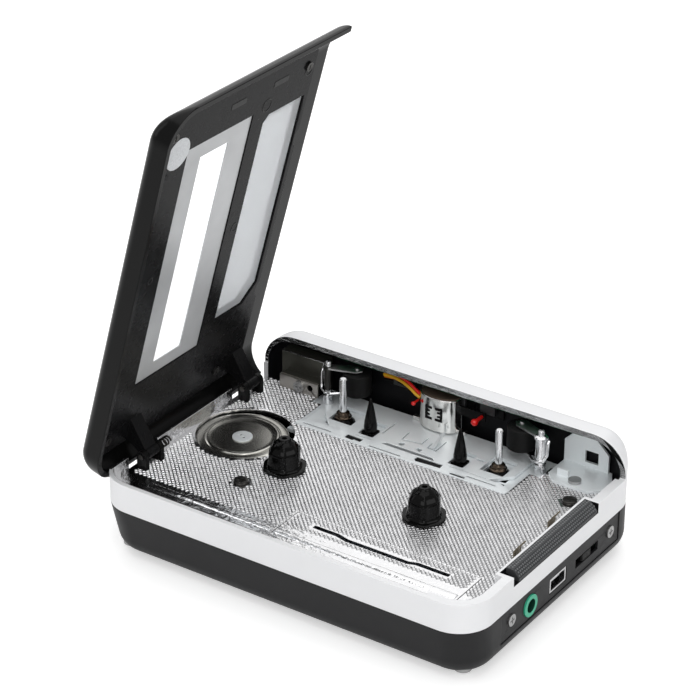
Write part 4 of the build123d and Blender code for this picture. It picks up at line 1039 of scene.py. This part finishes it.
    def build(self) -> None:
        """Builds the deck and its cover."""
        dress_node("deck_plate", [DECK_FOIL], 0.08)
        dress_node("battery_cover", [DECK_FOIL], 0.08)
        for on_cover, body in ((False, Body.BASE), (True, Body.COVER)):
            name = "cover_knurl" if on_cover else "deck_knurl"
            spots = self.stud_spots(on_cover)
            mesh = SetOnPoints.run(name, self.stud_part(), spots, DECK_CHROME, self.stud_change)
            obj = add_piece(name, mesh, body.value, [DECK_CHROME], degrees=5.0)
            obj.modifiers.clear()
            # Dark lozenges under the studs: painted shade between them.
            mesh = SetOnPoints.run(f"{name}_gaps", self.gap_shade_part(), spots, DECK_GAP_SHADE)
            obj = add_piece(f"{name}_gaps", mesh, body.value, [DECK_GAP_SHADE])
            obj.modifiers.clear()
        self.bands(self.deck_ridge_x, "deck_ridges", Body.BASE.value)
        self.bands(self.cover_ridge_x, "cover_ridges", Body.COVER.value)
        self.screws()
        dress_node("cassette_springs", [LEAF_BRONZE], 0.05)

    def screws(self) -> None:
        """Builds the two deck screws."""
        places = zip(self.screw_places, (0.5, 0.2))
        spots = [((x, y, self.top - 0.1), (0, 0, turn)) for (x, y), turn in places]
        mesh = SetOnPoints.run("deck_screw_heads", screw_head(2.0, 0.9, 1.25), spots, DARK_SCREW)
        add_piece("deck_screw_heads", mesh, Body.BASE.value, [DARK_SCREW], ("deck_screws",))


@dataclass
class TapeDrive:
    """Motor, reels, capstans and what turns them."""

    reel_x: Point2 = (-20.95, 21.55)
    reel_y: float = -5.5
    reel_foot: float = 18.35
    reel_top: float = 27.0
    capstan_x: Point2 = (-23.8, 24.4)
    capstan_y: float = 25.4
    motor: Point2 = (-40.6, 3.0)
    motor_radius: float = 12.3
    motor_top: float = 17.6
    cap_holes: tuple[Point2, Point2] = ((-0.75, 0.3), (0.7, -0.35))

    def build_motor(self) -> None:
        """Builds the flat motor can with its lip, ring and cap."""
        r, top = self.motor_radius, self.motor_top
        x, y = self.motor
        draft = Draft()
        profile = [
            (0.0, 7.8), (r - 1.0, 7.8), (r - 0.3, 8.2), (r - 0.3, top - 1.3), (r, top - 0.9), (r, top - 0.6),
            (r - 0.25, top - 0.35), (r - 0.8, top - 0.22), (r - 1.9, top - 0.22), (r - 2.15, top - 0.35),
            (r - 2.35, top - 0.35), (r - 2.6, top - 0.1), (r - 2.9, top), (r - 3.2, top - 0.06),
            (r - 3.9, top - 0.38), (r - 4.8, top - 0.55), (4.4, top - 0.66), (3.2, top - 0.66),
            (0.0, top - 0.66),
        ]
        draft.lathe(profile, (x, y, 0.0), sides=96)
        draft.piece("motor_can", Body.BASE.value, "nickel", CAN_NICKEL, ("drive_motor",))
        cap = Draft()
        holes = [circle(dx, dy, 0.34, 12) for dx, dy in self.cap_holes]
        cap.plate(circle(0, 0, 2.7, 40), holes, -0.7, -0.3, 0.1)
        cap.move(Matrix.Translation((x, y, top)))
        cap.piece("motor_cap", Body.BASE.value, "nickel", ZINC)
        dots = Draft()
        for dx, dy in self.cap_holes:
            dots.rod((x + dx, y + dy, 0), 0.33, top - 0.8, top - 0.5, sides=12)
        dots.piece("motor_cap_holes", Body.BASE.value, "nickel", SATIN_BLACK)

    def build_reel(self, side: str, x: float) -> None:
        """Builds one reel spindle: a fluted bullet on a lobed flange.

        Args:
            side: left or right.
            x: Its place.
        """
        foot, top, centre = self.reel_foot, self.reel_top, (x, self.reel_y, 0)
        draft = Draft()
        draft.lathe([(3.0, 12.2), (3.0, foot), (5.3, foot), (5.85, foot + 0.2), (5.85, foot + 0.5),
                     (5.5, foot + 0.72), (4.3, foot + 0.8)], centre, sides=96, lobes=6, lobe_depth=0.4)
        draft.lathe([
            (4.9, foot + 0.5), (4.75, foot + 1.0), (4.35, foot + 1.3), (4.3, top - 4.3), (4.2, top - 3.5),
            (3.85, top - 2.6), (3.25, top - 1.75), (2.6, top - 1.15), (1.9, top - 0.8),
        ], centre, sides=96, lobes=6, lobe_depth=0.22)
        draft.lathe([(2.6, top - 1.2), (2.15, top - 0.86), (1.75, top - 0.62), (1.62, top - 0.2), (1.4, top),
                     (0.75, top), (0.62, top - 0.12), (0.6, top - 0.6), (0.0, top - 0.6)], centre, sides=32)
        body = f"reel_{side}"
        draft.piece(
            f"reel_body_{side}", body, "gloss_black", GLOSS_BLACK, (f"reel_spindle_{side}",), degrees=40.0,
        )
        rib = Draft()
        outline = [(-0.3, 0.0), (0.3, 0.0), (0.3, 3.4), (0.2, 4.1), (-0.2, 4.1), (-0.3, 3.4)]
        rib.prism(outline, 3.6, 4.42, Along.X)
        spots = [((x, self.reel_y, foot + 1.3), (0.0, 0.0, math.radians(60 * i))) for i in range(6)]
        mesh = SetOnPoints.run(f"reel_ribs_{side}", part_mesh(rib, "rib"), spots, GLOSS_BLACK)
        add_piece(f"reel_ribs_{side}", mesh, body, [GLOSS_BLACK], bevel=0.1)

    def build_bearings(self) -> None:
        """Builds the domed black feet that the capstans stand in, with their bronze rims."""
        foot, rim = Draft(), Draft()
        for x in self.capstan_x:
            centre = (x, self.capstan_y, 0)
            foot.block((x - 3.9, x + 3.9), (self.capstan_y - 3.0, self.capstan_y + 3.0), (14.4, 15.4))
            foot.lathe(
                [(3.7, 15.3), (3.6, 15.9), (3.2, 16.8), (2.6, 17.5), (2.1, 17.9), (1.9, 18.2)], centre,
                sides=40,
            )
            rim.lathe([(1.9, 17.8), (2.3, 18.0), (2.3, 18.3), (1.95, 18.45), (1.8, 18.7), (1.8, 19.3),
                       (1.5, 19.6), (1.06, 19.7), (1.06, 18.0)], centre, sides=40)
        foot.piece("capstan_feet", Body.BASE.value, "zinc", GLOSS_BLACK, ("capstan_bushes",), bevel=0.12)
        rim.piece("capstan_rims", Body.BASE.value, "brass", BRONZE)

    def build(self) -> None:
        """Builds the drive."""
        self.build_motor()
        self.build_bearings()
        for side, x in zip(("left", "right"), self.reel_x):
            self.build_reel(side, x)
            dress_nodes((f"reel_gear_{side}", [SATIN_BLACK], 0.05), (f"flywheel_{side}", [BRASS], 0.1),
                        (f"capstan_{side}", [STEEL], 0.0))
        dress_nodes(
            ("reel_axles", [STEEL], 0.0), ("motor_pulley", [BRASS], 0.05), ("drive_belt", [RUBBER], 0.05),
        )


@dataclass
class Mechanism:
    """Zinc plates, head, guide pins and pinch rollers."""

    low: float = 15.6
    deck: float = 16.8
    top: float = 17.9
    mid: float = 0.3
    face: float = 32.0
    pins: tuple[Point2, Point2] = ((-32.7, 31.4), (33.3, 31.4))
    rollers: tuple[Point2, Point2] = ((-25.3, 34.3), (25.9, 34.3))
    guides: tuple[Point2, Point2] = ((-13.6, 23.2), (14.2, 23.2))
    notch: tuple[Point2, ...] = (
        (-17.2, 16.2), (-14.6, 16.0), (-14.4, 16.5), (-12.4, 16.3), (-12.3, 17.9), (-17.3, 18.1),
    )
    head_half: float = 6.0
    head_depth: float = 4.6
    head_bulge: float = 2.2
    head_squeeze: float = 0.86
    can_front_y: float = 31.0
    # Dark pads under the sliding plate: painted shade seen through its cut-outs and along its front edge.
    shade_pads: tuple[tuple[Point2, Point2], ...] = (
        ((-29.0, 29.0), (18.2, 20.9)), ((-5.4, 7.0), (21.0, 30.0)), ((-11.0, -9.8), (21.0, 30.8)),
    )
    comb_rows: tuple[Point3, ...] = (
        (24.7, 25.4, 2.0), (21.5, 22.2, 2.0), (23.75, 24.3, 1.3), (22.6, 23.15, 1.3),
    )
    lead_path: tuple[tuple[float, float, float, float], ...] = (
        (-5.5, 34.6, 26.4, 0.5), (-6.6, 34.7, 27.0, 1.0), (-8.6, 35.2, 27.9, 1.0),
        (-11.4, 36.0, 28.5, 1.0), (-15.0, 36.8, 28.6, 0.6), (-18.6, 37.4, 28.0, 0.3),
    )
    wire_path: tuple[Point3, ...] = (
        (-1.9, 0.6, 26.6), (-2.05, 0.0, 25.6), (-2.0, -0.2, 22.6), (-1.5, -1.1, 21.2),
        (0.0, -1.75, 20.7), (1.7, -1.1, 20.5), (3.8, 0.9, 20.4),
    )
    strip_z: Point2 = (17.98, 18.3)
    # Height of the dark sheet under the front strip: painted shade in its cut-outs.
    strip_shade_z: Point2 = (17.955, 17.975)

    @staticmethod
    def window(x: Point2, y: Point2, corner: float = 0.25) -> list[Point2]:
        """Returns a cut-out with slightly round corners."""
        return rounded_loop(x, y, corner, 2)

    def plates(self) -> None:
        """Builds the fixed plate with its cut-outs, and dark pads on it that are painted shade under the
        sliding plate's cut-outs and front edge.
        """
        fixed = Draft()
        outline = [(-34, 14), (34, 14), (34, 26), (37, 26), (37, 37.8), (-37, 37.8), (-37, 26), (-34, 26)]
        holes = [
            self.window((-27.3, -19.3), (21.9, 27.1)), self.window((20.6, 28.6), (21.9, 27.1)),
            self.window((-15.5, -11.7), (21.2, 24.6)), self.window((12.3, 16.1), (21.2, 24.6)),
            list(self.notch), self.window((-9.5, 0.3), (15.95, 16.2), 0.1),
            [(5.0, 16.2), (9.4, 16.6), (12.1, 16.7), (11.9, 18.6), (4.2, 18.5), (4.1, 17.0)],
            self.window((15.5, 20.0), (15.7, 16.5)),
            self.window((13.2, 24.2), (18.3, 18.6), 0.1), self.window((19.8, 28.6), (16.95, 17.25), 0.1),
            self.window((-33.2, -24.6), (18.4, 18.75), 0.1), circle(25.4, 33.0, 1.9, 20),
        ]
        fixed.plate(outline, holes, self.low, self.deck, 0.1)
        # Painted shade under the sliding plate's cut-outs.
        shade_pads = Draft()
        for x, y in self.shade_pads:
            shade_pads.block(x, y, (self.deck - 0.02, self.deck + 0.05))
        shade_pads.piece("plate_backing", Body.BASE.value, "gloss_black", INNER_BLACK)
        self.front_strip()
        fixed.piece("chassis_sheet", Body.BASE.value, "zinc", ZINC, ("head_chassis",))

    def slide_plate(self) -> None:
        """Builds the sliding plate with its cut-outs and pressed tab."""
        slide = Draft()
        a, b = self.mid - 29.4, self.mid + 29.4
        outline = [
            (a, 36.4), (a, 24.6), (a + 5.2, 18.9), (-17.4, 18.9), (-17.4, 19.6), (-11.0, 19.6), (-11.0, 18.9),
            (-8.7, 18.9), (-6.7, 20.6), (7.3, 20.6), (9.3, 18.9), (12.6, 18.9), (13.2, 19.6), (24.2, 19.6),
            (24.2, 18.9), (b - 5.2, 18.9), (b, 24.6), (b, 36.4),
        ]
        holes = [
            self.window((-26.7, -19.6), (22.7, 30.6)), self.window((20.4, 27.3), (22.7, 30.6)),
            self.window((-15.9, -11.3), (20.7, 28.2)), self.window((11.9, 16.5), (20.7, 28.2)),
            circle(-3.2, 22.3, 0.8, 20), [(1.2, 22.0), (1.5, 22.9), (3.1, 22.6), (2.9, 21.4)],
            [(-4.6, 24.2), (1.4, 24.9), (1.2, 28.6), (0.9, 28.6), (1.0, 25.3), (-4.3, 24.6), (-4.6, 28.4),
             (-4.9, 28.4)],
            [(3.3, 24.2), (6.4, 23.9), (6.2, 29.6), (5.9, 29.6), (6.0, 24.4), (3.6, 24.6), (3.4, 27.0),
             (3.1, 27.0)],
            self.window((-10.6, -10.2), (24.0, 30.5), 0.1), self.window((17.2, 19.6), (26.2, 26.9), 0.2),
        ]
        slide.plate(outline, holes, self.deck + 0.1, self.top, 0.12)
        slide.block(
            (self.mid - 5.4, self.mid + 5.4), (self.face + self.head_depth, self.face + 5.6),
            (self.deck + 0.1, 24.6),
        )
        tab = Draft()
        tab.add_faces(
            [(4.6, 24.5, 17.9), (5.6, 24.4, 18.3), (5.2, 30.2, 20.3), (3.9, 30.0, 19.6),
             (4.6, 24.8, 17.7), (5.6, 24.7, 18.0), (5.2, 30.4, 20.0), (3.9, 30.2, 19.3)],
            [[0, 1, 2, 3], [7, 6, 5, 4], [0, 4, 5, 1], [1, 5, 6, 2], [2, 6, 7, 3], [3, 7, 4, 0]],
        )
        for name, draft, hides in (("slide_sheet", slide, ("head_carriage",)), ("slide_tab", tab, ())):
            draft.piece(name, Body.HEAD.value, "zinc", ZINC, hides, 0.0 if hides else 0.06)

    def front_strip(self) -> None:
        """Builds the fixed strip with cut-outs in front of the sliding plate, over a dark sheet that is
        painted shade seen through the cut-outs.
        """
        strip = Draft()
        outline = [(-32.3, 15.1), (32.3, 15.1), (32.3, 17.4), (29.0, 18.9), (-28.7, 18.9), (-32.3, 17.4)]
        holes = [
            list(self.notch), self.window((-9.5, 0.3), (15.9, 16.35), 0.1),
            [(5.0, 16.2), (9.4, 16.6), (12.1, 16.7), (11.9, 18.5), (4.2, 18.4), (4.1, 17.0)],
            self.window((15.5, 20.0), (15.7, 16.5)), self.window((19.8, 28.6), (17.0, 17.4), 0.1),
            self.window((-30.6, -21.6), (16.3, 16.7), 0.1),
        ]
        strip.plate(outline, holes, *self.strip_z, 0.08)
        strip.piece("front_strip", Body.BASE.value, "zinc", ZINC)
        # Dark sheet under the strip: painted shade seen through its cut-outs.
        shade_sheet = Draft()
        outline = [(-31.8, 15.3), (31.8, 15.3), (31.8, 17.2), (28.8, 18.6), (-28.5, 18.6), (-31.8, 17.2)]
        shade_sheet.plate(outline, [], *self.strip_shade_z)
        shade_sheet.piece("front_strip_backing", Body.BASE.value, "gloss_black", INNER_BLACK)

    def head_line(self, inset: float = 0.0) -> list[Point2]:
        """Returns the plan of the head can, whose front bulges."""
        half, bulge = self.head_half - inset, self.head_bulge
        turns = [math.radians(v) * self.head_squeeze for v in range(-80, 81, 8)]
        depths = [bulge * (1 - math.cos(a)) / (1 - math.cos(1.2)) for a in turns]
        front = [
            (self.mid + half * math.sin(a), self.face + inset + depth) for a, depth in zip(turns, depths)
        ]
        back = self.face + self.head_depth - inset
        return [*front, (self.mid + half, back), (self.mid - half, back)]

    def head(self) -> None:
        """Builds the tape head: bright can with a bulging front, brown top and the printed combs."""
        can = Draft()
        can.prism(self.head_line(), self.top + 0.3, 27.9)
        can.block(
            (self.mid - 8.2, self.mid + 8.2), (self.face + 2.6, self.face + 4.4), (self.top, self.top + 1.2),
        )
        can.piece("head_can", Body.HEAD.value, "head_metal", HEAD_CHROME, ("tape_head",), 0.25)
        top = Draft()
        top.prism(self.head_line(0.35), 27.7, 28.3)
        top.piece("head_top", Body.HEAD.value, "head_metal", HEAD_TOP, bevel=0.1)
        comb = Draft()
        for side in (-1, 1):
            for low, high, reach in self.comb_rows:
                a, b = sorted((self.mid + side * 2.45, self.mid + side * (2.45 - reach)))
                comb.block((a, b), (self.face - 0.03, self.face + 1.2), (low, high))
            a, b = sorted((self.mid + side * 2.05, self.mid + side * 2.6))
            comb.block((a, b), (self.face + 0.02, self.face + 1.2), (21.5, 25.4))
        comb.piece("head_combs", Body.HEAD.value, "head_metal", SATIN_BLACK)

    def leads(self) -> None:
        """Builds the coloured leads beside the head and their solder beads."""
        body = frame["nodes"]["head_wires"]["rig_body"]
        sets = (
            (RED_WIRE, 0.0, 0.0), (YELLOW_WIRE, -0.5, -0.85), (ORANGE_WIRE, 0.6, -1.5),
            (SATIN_BLACK, 1.0, -2.4),
        )
        for i, (finish, dy, dz) in enumerate(sets):
            draft = Draft()
            path = [(x, y + dy * share, z + dz) for x, y, z, share in self.lead_path]
            draft.tube(path, 0.42, 10)
            draft.piece(f"head_lead_{i + 1}", body, "wire", finish, ("head_wires",) if i == 0 else ())
        beads = Draft()
        for x, y, z, r in ((-6.3, 32.6, 24.2, 0.6), (12.6, 32.6, 24.5, 1.0)):
            beads.lathe(
                [(0.0, -r), (r * 0.7, -r * 0.7), (r, 0.0), (r * 0.7, r * 0.7), (0.0, r)], (x, y, z),
                Along.X, 16,
            )
            beads.rod((x, y, z), r * 0.5, 0.0, 36.3 - y, Along.Y, 12)
        strip = Draft()
        strip.block((-7.2, 13.6), (36.2, 36.6), (23.0, 25.6))
        strip.piece("head_terminal_strip", Body.HEAD.value, "gloss_black", SATIN_BLACK)
        beads.piece("lead_beads", Body.HEAD.value, "wire", RED_WIRE)

    def guide_pair(self) -> None:
        """Builds the two black locating pins on their square feet."""
        draft = Draft()
        for x, y in self.guides:
            draft.block((x - 1.9, x + 1.9), (y - 1.6, y + 1.6), (15.7, 18.0))
            profile = [(1.3, 17.8), (1.75, 18.2), (1.8, 19.6), (1.55, 21.4), (1.15, 23.6), (0.75, 25.6),
                       (0.5, 26.9), (0.35, 27.5), (0.0, 27.7)]
            draft.lathe(profile, (x, y, 0.0), sides=32)
        draft.piece("guide_posts", Body.BASE.value, "gloss_black", GLOSS_BLACK, ("guide_pins",), bevel=0.1)

    def pinch(self, index: int) -> None:
        """Builds one pinch roller arm: a sleeve on its pin, a top leaf and a bent wire below.

        Args:
            index: 0 for the left arm, 1 for the right arm.
        """
        side, (px, py), (rx, ry) = ("left", "right")[index], self.pins[index], self.rollers[index]
        toward = -1 if index else 1
        body = f"pinch_{side}"
        sleeve = Draft()
        wide = 1.55 if index else 1.1
        profile = [
            (0.98, 20.0), (wide * 0.8, 20.0), (wide * 0.8, 20.9), (wide, 21.1), (wide, 27.0),
            (wide + 0.35, 27.1), (wide + 0.35, 27.6), (wide - 0.1, 27.9), (0.98, 28.1),
        ]
        sleeve.lathe(profile, (px, py, 0.0), sides=32)
        bright = STEEL if index else DARK_SCREW
        sleeve.piece(f"pinch_sleeve_{side}", body, "steel", bright, (f"pinch_arm_{side}",))
        leaf = Draft()
        reach, turn = math.hypot(rx - px, ry - py), math.atan2(ry - py, rx - px)
        outline = [
            (0.2, -1.4), (reach, -2.0), (reach + 1.6, -1.0), (reach + 1.6, 1.0), (reach, 2.0), (0.2, 1.4),
        ]
        leaf.plate(outline, [], 27.45, 27.9, 0.08)
        leaf.rod((reach, 0.0, 0.0), 0.7, 20.3, 28.3, sides=20, edge=0.15)
        leaf.move(Matrix.Translation((px, py, 0.0)) @ Matrix.Rotation(turn, 4, "Z"))
        leaf.piece(f"pinch_leaf_{side}", body, "zinc", DULL_STEEL)
        wire = Draft()
        path = [(px + toward * x, py + y, z) for x, y, z in self.wire_path]
        path.append((rx - toward * 0.8, ry - 0.5, 20.4))
        wire.tube(path, 0.36, 10)
        wire.piece(f"pinch_wire_{side}", body, "steel", STEEL)
        dress_node(f"pinch_roller_{side}", [RUBBER], 0.1)

    def brackets(self) -> None:
        """Dresses the corner brackets and their screws."""
        def can_or_plate(corners: list[Vector], normal: Vector) -> int:
            """Picks the plate in front or the can behind."""
            return 1 if max(p.y for p in corners) < self.can_front_y else 0

        dress_node("left_bracket", [OLIVE_CAN, NICKEL], 0.14, can_or_plate)
        edges = Draft()
        edges.block((-49.5, -35.6), (33.5, 33.75), (26.85, 27.15))
        edges.block((-35.85, -35.55), (33.5, 33.75), (20.0, 27.1))
        edges.piece("can_edges", Body.BASE.value, "nickel", STEEL, bevel=0.1)
        dress_node("right_bracket", [ZINC], 0.1)
        dress_node("bracket_screws", [DULL_STEEL], 0.06)

    def build(self) -> None:
        """Builds the mechanism."""
        self.plates()
        self.slide_plate()
        self.guide_pair()
        self.head()
        self.leads()
        for index in (0, 1):
            self.pinch(index)
        dress_node("pinch_pins", [STEEL], 0.05)
        self.brackets()


@dataclass
class SideAndInside:
    """Sockets, latch, buttons, boards and cells."""

    jack: Point2 = (-13.2, 9.4)
    jack_bore: float = 1.95
    panel_x: float = 55.5
    latch_y: Point2 = (-18.6, 18.2)
    grid_pitch: float = 0.85
    grid_rows: tuple[Point3, ...] = (
        (53.95, 22.08, 0.0), (54.7, 22.08, 0.0), (55.75, 21.76, 45.0), (56.3, 21.21, 45.0),
        (56.85, 20.66, 45.0),
    )

    def jack_finish(self, corners: list[Vector], normal: Vector) -> int:
        """Picks light green for the socket's collar and dark green for its bore."""
        reach = max(math.hypot(p.y - self.jack[0], p.z - self.jack[1]) for p in corners)
        return 1 if reach < self.jack_bore or max(p.x for p in corners) < self.panel_x else 0

    @staticmethod
    def cell_finish(corners: list[Vector], normal: Vector) -> int:
        """Picks steel for the flat ends of the cells."""
        return 1 if abs(normal.x) > 0.7 else 0

    def latch_grid(self) -> None:
        """Sets the fine raised grid on the latch pad."""
        dot = Draft()
        dot.lathe([(0.3, -0.02), (0.26, 0.1), (0.0, 0.14)], (0, 0, 0), sides=6)
        spots = []
        for column in range(int((self.latch_y[1] - self.latch_y[0]) / self.grid_pitch) + 1):
            for row, (x, z, turn) in enumerate(self.grid_rows):
                y = self.latch_y[0] + (column + 0.5 * (row % 2)) * self.grid_pitch
                spots.append(((x, y, z), (0.0, math.radians(turn), 0.0)))
        mesh = SetOnPoints.run("latch_grid", part_mesh(dot, "dot"), spots, LATCH_DOT)
        body = frame["nodes"]["latch_slider"]["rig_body"]
        add_piece("latch_grid", mesh, body, [LATCH_DOT])

    def build(self) -> None:
        """Builds the small controls and the hidden parts."""
        dress_nodes(
            ("port_panel", [TRAY_BLACK], 0.06), ("port_screws", [DULL_STEEL], 0.05),
            ("usb_socket", [STEEL], 0.06),
        )
        dress_node("audio_jack", [JACK_GREEN, JACK_DARK], 0.08, self.jack_finish)
        dress_nodes(
            ("side_switch", [SATIN_BLACK], 0.05), ("switch_knob", [SATIN_BLACK], 0.08),
            ("latch_slider", [LATCH_GREY], 0.08),
        )
        self.latch_grid()
        dress_nodes(
            *((f"control_button_{i}", [SATIN_BLACK], 0.05) for i in range(1, 5)),
            ("button_board", [BOARD], 0.03), ("button_switches", [CHIP], 0.05), ("main_board", [BOARD], 0.03),
            ("board_parts", [CHIP], 0.05),
        )
        dress_node("battery_cells", [CELL_SLEEVE, STEEL], 0.1, self.cell_finish)
        dress_node("battery_contacts", [STEEL], 0.03)


@dataclass
class Lid:
    """Hinged lid with its two windows."""

    face_z: float = 28.4
    mark_depth: float = 0.08
    mark_line: float = 0.25
    marks: tuple[Point3, ...] = ((41.3, 4.9, 1.9), (45.6, 21.2, 1.6), (3.6, -30.7, 1.0), (5.0, 3.4, 1.4))

    def details(self) -> None:
        """Builds the plain round label, the moulding marks, the dark strips and the pin hole."""
        low = self.face_z - self.mark_depth
        label = Draft()
        label.plate(circle(41.2, -30.9, 4.4, 48), [], low, self.face_z)
        marks = Draft()
        for x, y, radius in self.marks:
            inner = circle(x, y, radius - self.mark_line, 32)
            marks.plate(circle(x, y, radius, 32), [inner], low, self.face_z)
        for y in (-8.5, 9.1):
            marks.block((46.0, 47.6), (y - 3.0, y + 3.0), (low, self.face_z))
        hole = Draft()
        hole.rod((35.6, -34.0, 0.0), 0.8, low, self.face_z, sides=20)
        pieces = (("lid_label", label, PAPER, slot_of("window_trim")),
                  ("lid_marks", marks, LID_MARK, "gloss_black"),
                  ("lid_pin_hole", hole, INNER_BLACK, "gloss_black"))
        body = frame["nodes"]["lid_frame"]["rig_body"]
        for name, draft, finish, slot in pieces:
            add_piece(name, draft.mesh(name, LID_TURN), body, [finish])

    def build(self) -> None:
        """Builds the lid."""
        dress_nodes(
            ("lid_shell", [LID_GLOSS], 0.15), ("lid_frame", [LID_INNER], 0.1),
            ("cassette_window", [CLEAR], 0.08), ("window_trim", [TRIM_SILVER], 0.03),
            ("head_window", [FROST], 0.08),
            ("lid_screws", [DARK_SCREW], 0.05), ("hinge_ears", [SATIN_BLACK], 0.06),
        )
        self.details()
        dress_nodes(("hinge_pins", [DARK_SCREW], 0.05), ("lid_spring", [DARK_SCREW], 0.0))


@dataclass
class Studio:
    """Pale floor, soft lamps, white surroundings and the camera."""

    eye: Point3 = (316.153, -475.380, 359.459)
    right: Point3 = (0.82822778, 0.56038558, 0.00259956)
    up: Point3 = (-0.26470689, 0.38712923, 0.88321074)
    back: Point3 = (0.4939322, -0.73218779, 0.46896911)
    lens: float = 134.26
    sensor: float = 36.0
    clip: Point2 = (0.05, 20.0)
    floor_z: float = -0.05
    floor_reach: float = 4.0
    floor_glow: float = 0.45
    floor_mirrored: float = 0.4
    plain_light: float = 0.30
    plain_mirrored: float = 0.25
    lamps: tuple[tuple[str, Point3, float, Point2], ...] = (
        ("top_softbox", (-0.15, 0.15, 0.9), 4.3, (1.1, 1.1)),
        ("front_softbox", (0.25, -1.0, 0.45), 2.7, (0.9, 0.5)),
        ("right_softbox", (1.0, -0.1, 0.45), 1.9, (0.7, 0.5)),
        ("left_softbox", (-0.9, -0.5, 0.6), 1.2, (0.5, 0.8)),
        ("back_card", (-0.6, 0.88, 0.56), 2.0, (1.4, 0.8)),
        ("strip_lamp", (0.35, -0.45, 0.85), 1.0, (0.12, 0.7)),
    )

    def camera(self) -> None:
        """Sets the camera at the photograph's viewpoint."""
        data = bpy.data.cameras.new("camera")
        data.lens, data.sensor_width = self.lens, self.sensor
        data.clip_start, data.clip_end = self.clip
        obj = link("camera", data)
        turn = Matrix((self.right, self.up, self.back)).transposed().to_4x4()
        place = (Vector(self.eye) + CASE_SHIFT) * MM
        obj.matrix_world = Matrix.Translation(place) @ turn
        bpy.context.scene.camera = obj

    def lamp(
        self, name: str, place: Point3, power: float, size: Point2, aim: Point3 = (0.0, 0.0, 0.03),
    ) -> None:
        """Adds a soft area lamp.

        Args:
            name: Its name.
            place: Its place in metres.
            power: Its power in watts.
            size: Its width and height in metres.
            aim: The point that it faces.
        """
        data = bpy.data.lights.new(name, "AREA")
        data.shape, data.size, data.size_y, data.energy = "RECTANGLE", size[0], size[1], power
        obj = link(name, data)
        obj.location = place
        obj.rotation_euler = (Vector(aim) - Vector(place)).to_track_quat("-Z", "Y").to_euler()

    @staticmethod
    def seen_share(graph: Graph, mirrored: float) -> bpy.types.Node:
        """Adds nodes that give 1 to what is seen, also through glass, and a share to what is mirrored.

        Args:
            graph: The tree.
            mirrored: The share.

        Returns:
            The last node.
        """
        rays, seen = graph.add("ShaderNodeLightPath"), graph.add("ShaderNodeMath", "MAXIMUM")
        share = graph.add("ShaderNodeMath", "MULTIPLY_ADD", {1: mirrored})
        graph.join(
            (rays, "Is Camera Ray", seen, 0), (rays, "Is Transmission Ray", seen, 1),
            (rays, "Is Glossy Ray", share, 0), (seen, 0, share, 2),
        )
        return share

    def world(self) -> None:
        """Makes white surroundings that give a plain, even light."""
        world = bpy.data.worlds.new("white_studio")
        world.use_nodes = True
        graph, shown = Graph(world.node_tree), world.node_tree.nodes["Background"]
        lit = graph.add("ShaderNodeMapRange", values={"To Min": self.plain_light, "To Max": 1.0})
        share = self.seen_share(graph, self.plain_mirrored)
        graph.join((share, 0, lit, "Value"), (lit, "Result", shown, "Strength"))
        shown.inputs["Color"].default_value = (1.0, 1.0, 1.0, 1.0)
        bpy.context.scene.world = world

    def floor(self) -> None:
        """Lays the pale floor."""
        z, reach = self.floor_z * MM, self.floor_reach
        mesh = bpy.data.meshes.new("floor")
        corners = [(-reach, -reach, z), (reach, -reach, z), (reach, reach, z), (-reach, reach, z)]
        mesh.from_pydata(corners, [], [(0, 1, 2, 3)])
        made = bpy.data.materials.new("pale_floor")
        made.use_nodes = True
        graph, shader = Graph(made.node_tree), made.node_tree.nodes["Principled BSDF"]
        fill(
            shader,
            {"Base Color": (0.9, 0.9, 0.9, 1.0), "Roughness": 0.7, "Emission Color": (1.0, 1.0, 1.0, 1.0)}
        )
        glow = graph.add("ShaderNodeMath", "MULTIPLY", {1: self.floor_glow})
        share = self.seen_share(graph, self.floor_mirrored)
        graph.join((share, 0, glow, 0), (glow, 0, shader, "Emission Strength"))
        mesh.materials.append(made)
        link("floor", mesh)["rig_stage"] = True

    def build(self) -> None:
        """Builds the studio."""
        self.floor()
        self.world()
        for lamp in self.lamps:
            self.lamp(*lamp)
        bpy.context.scene.view_settings.view_transform = "Standard"
        self.camera()


def main() -> None:
    """Builds the player piece by piece."""
    logging.basicConfig(level=logging.INFO, format="%(name)s %(message)s")
    for part in (Studio(), CaseShell(), Deck(), TapeDrive(), Mechanism(), SideAndInside(), Lid()):
        part.build()
        LOG.info("%s done", type(part).__name__)
    low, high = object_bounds()
    rows = [list(CAD_BOX[0]), list(CAD_BOX[1]), list(low), list(high)]
    "\n".join(json.dumps(row) for row in rows) + "\n"


if __name__ == "__main__":
    main()
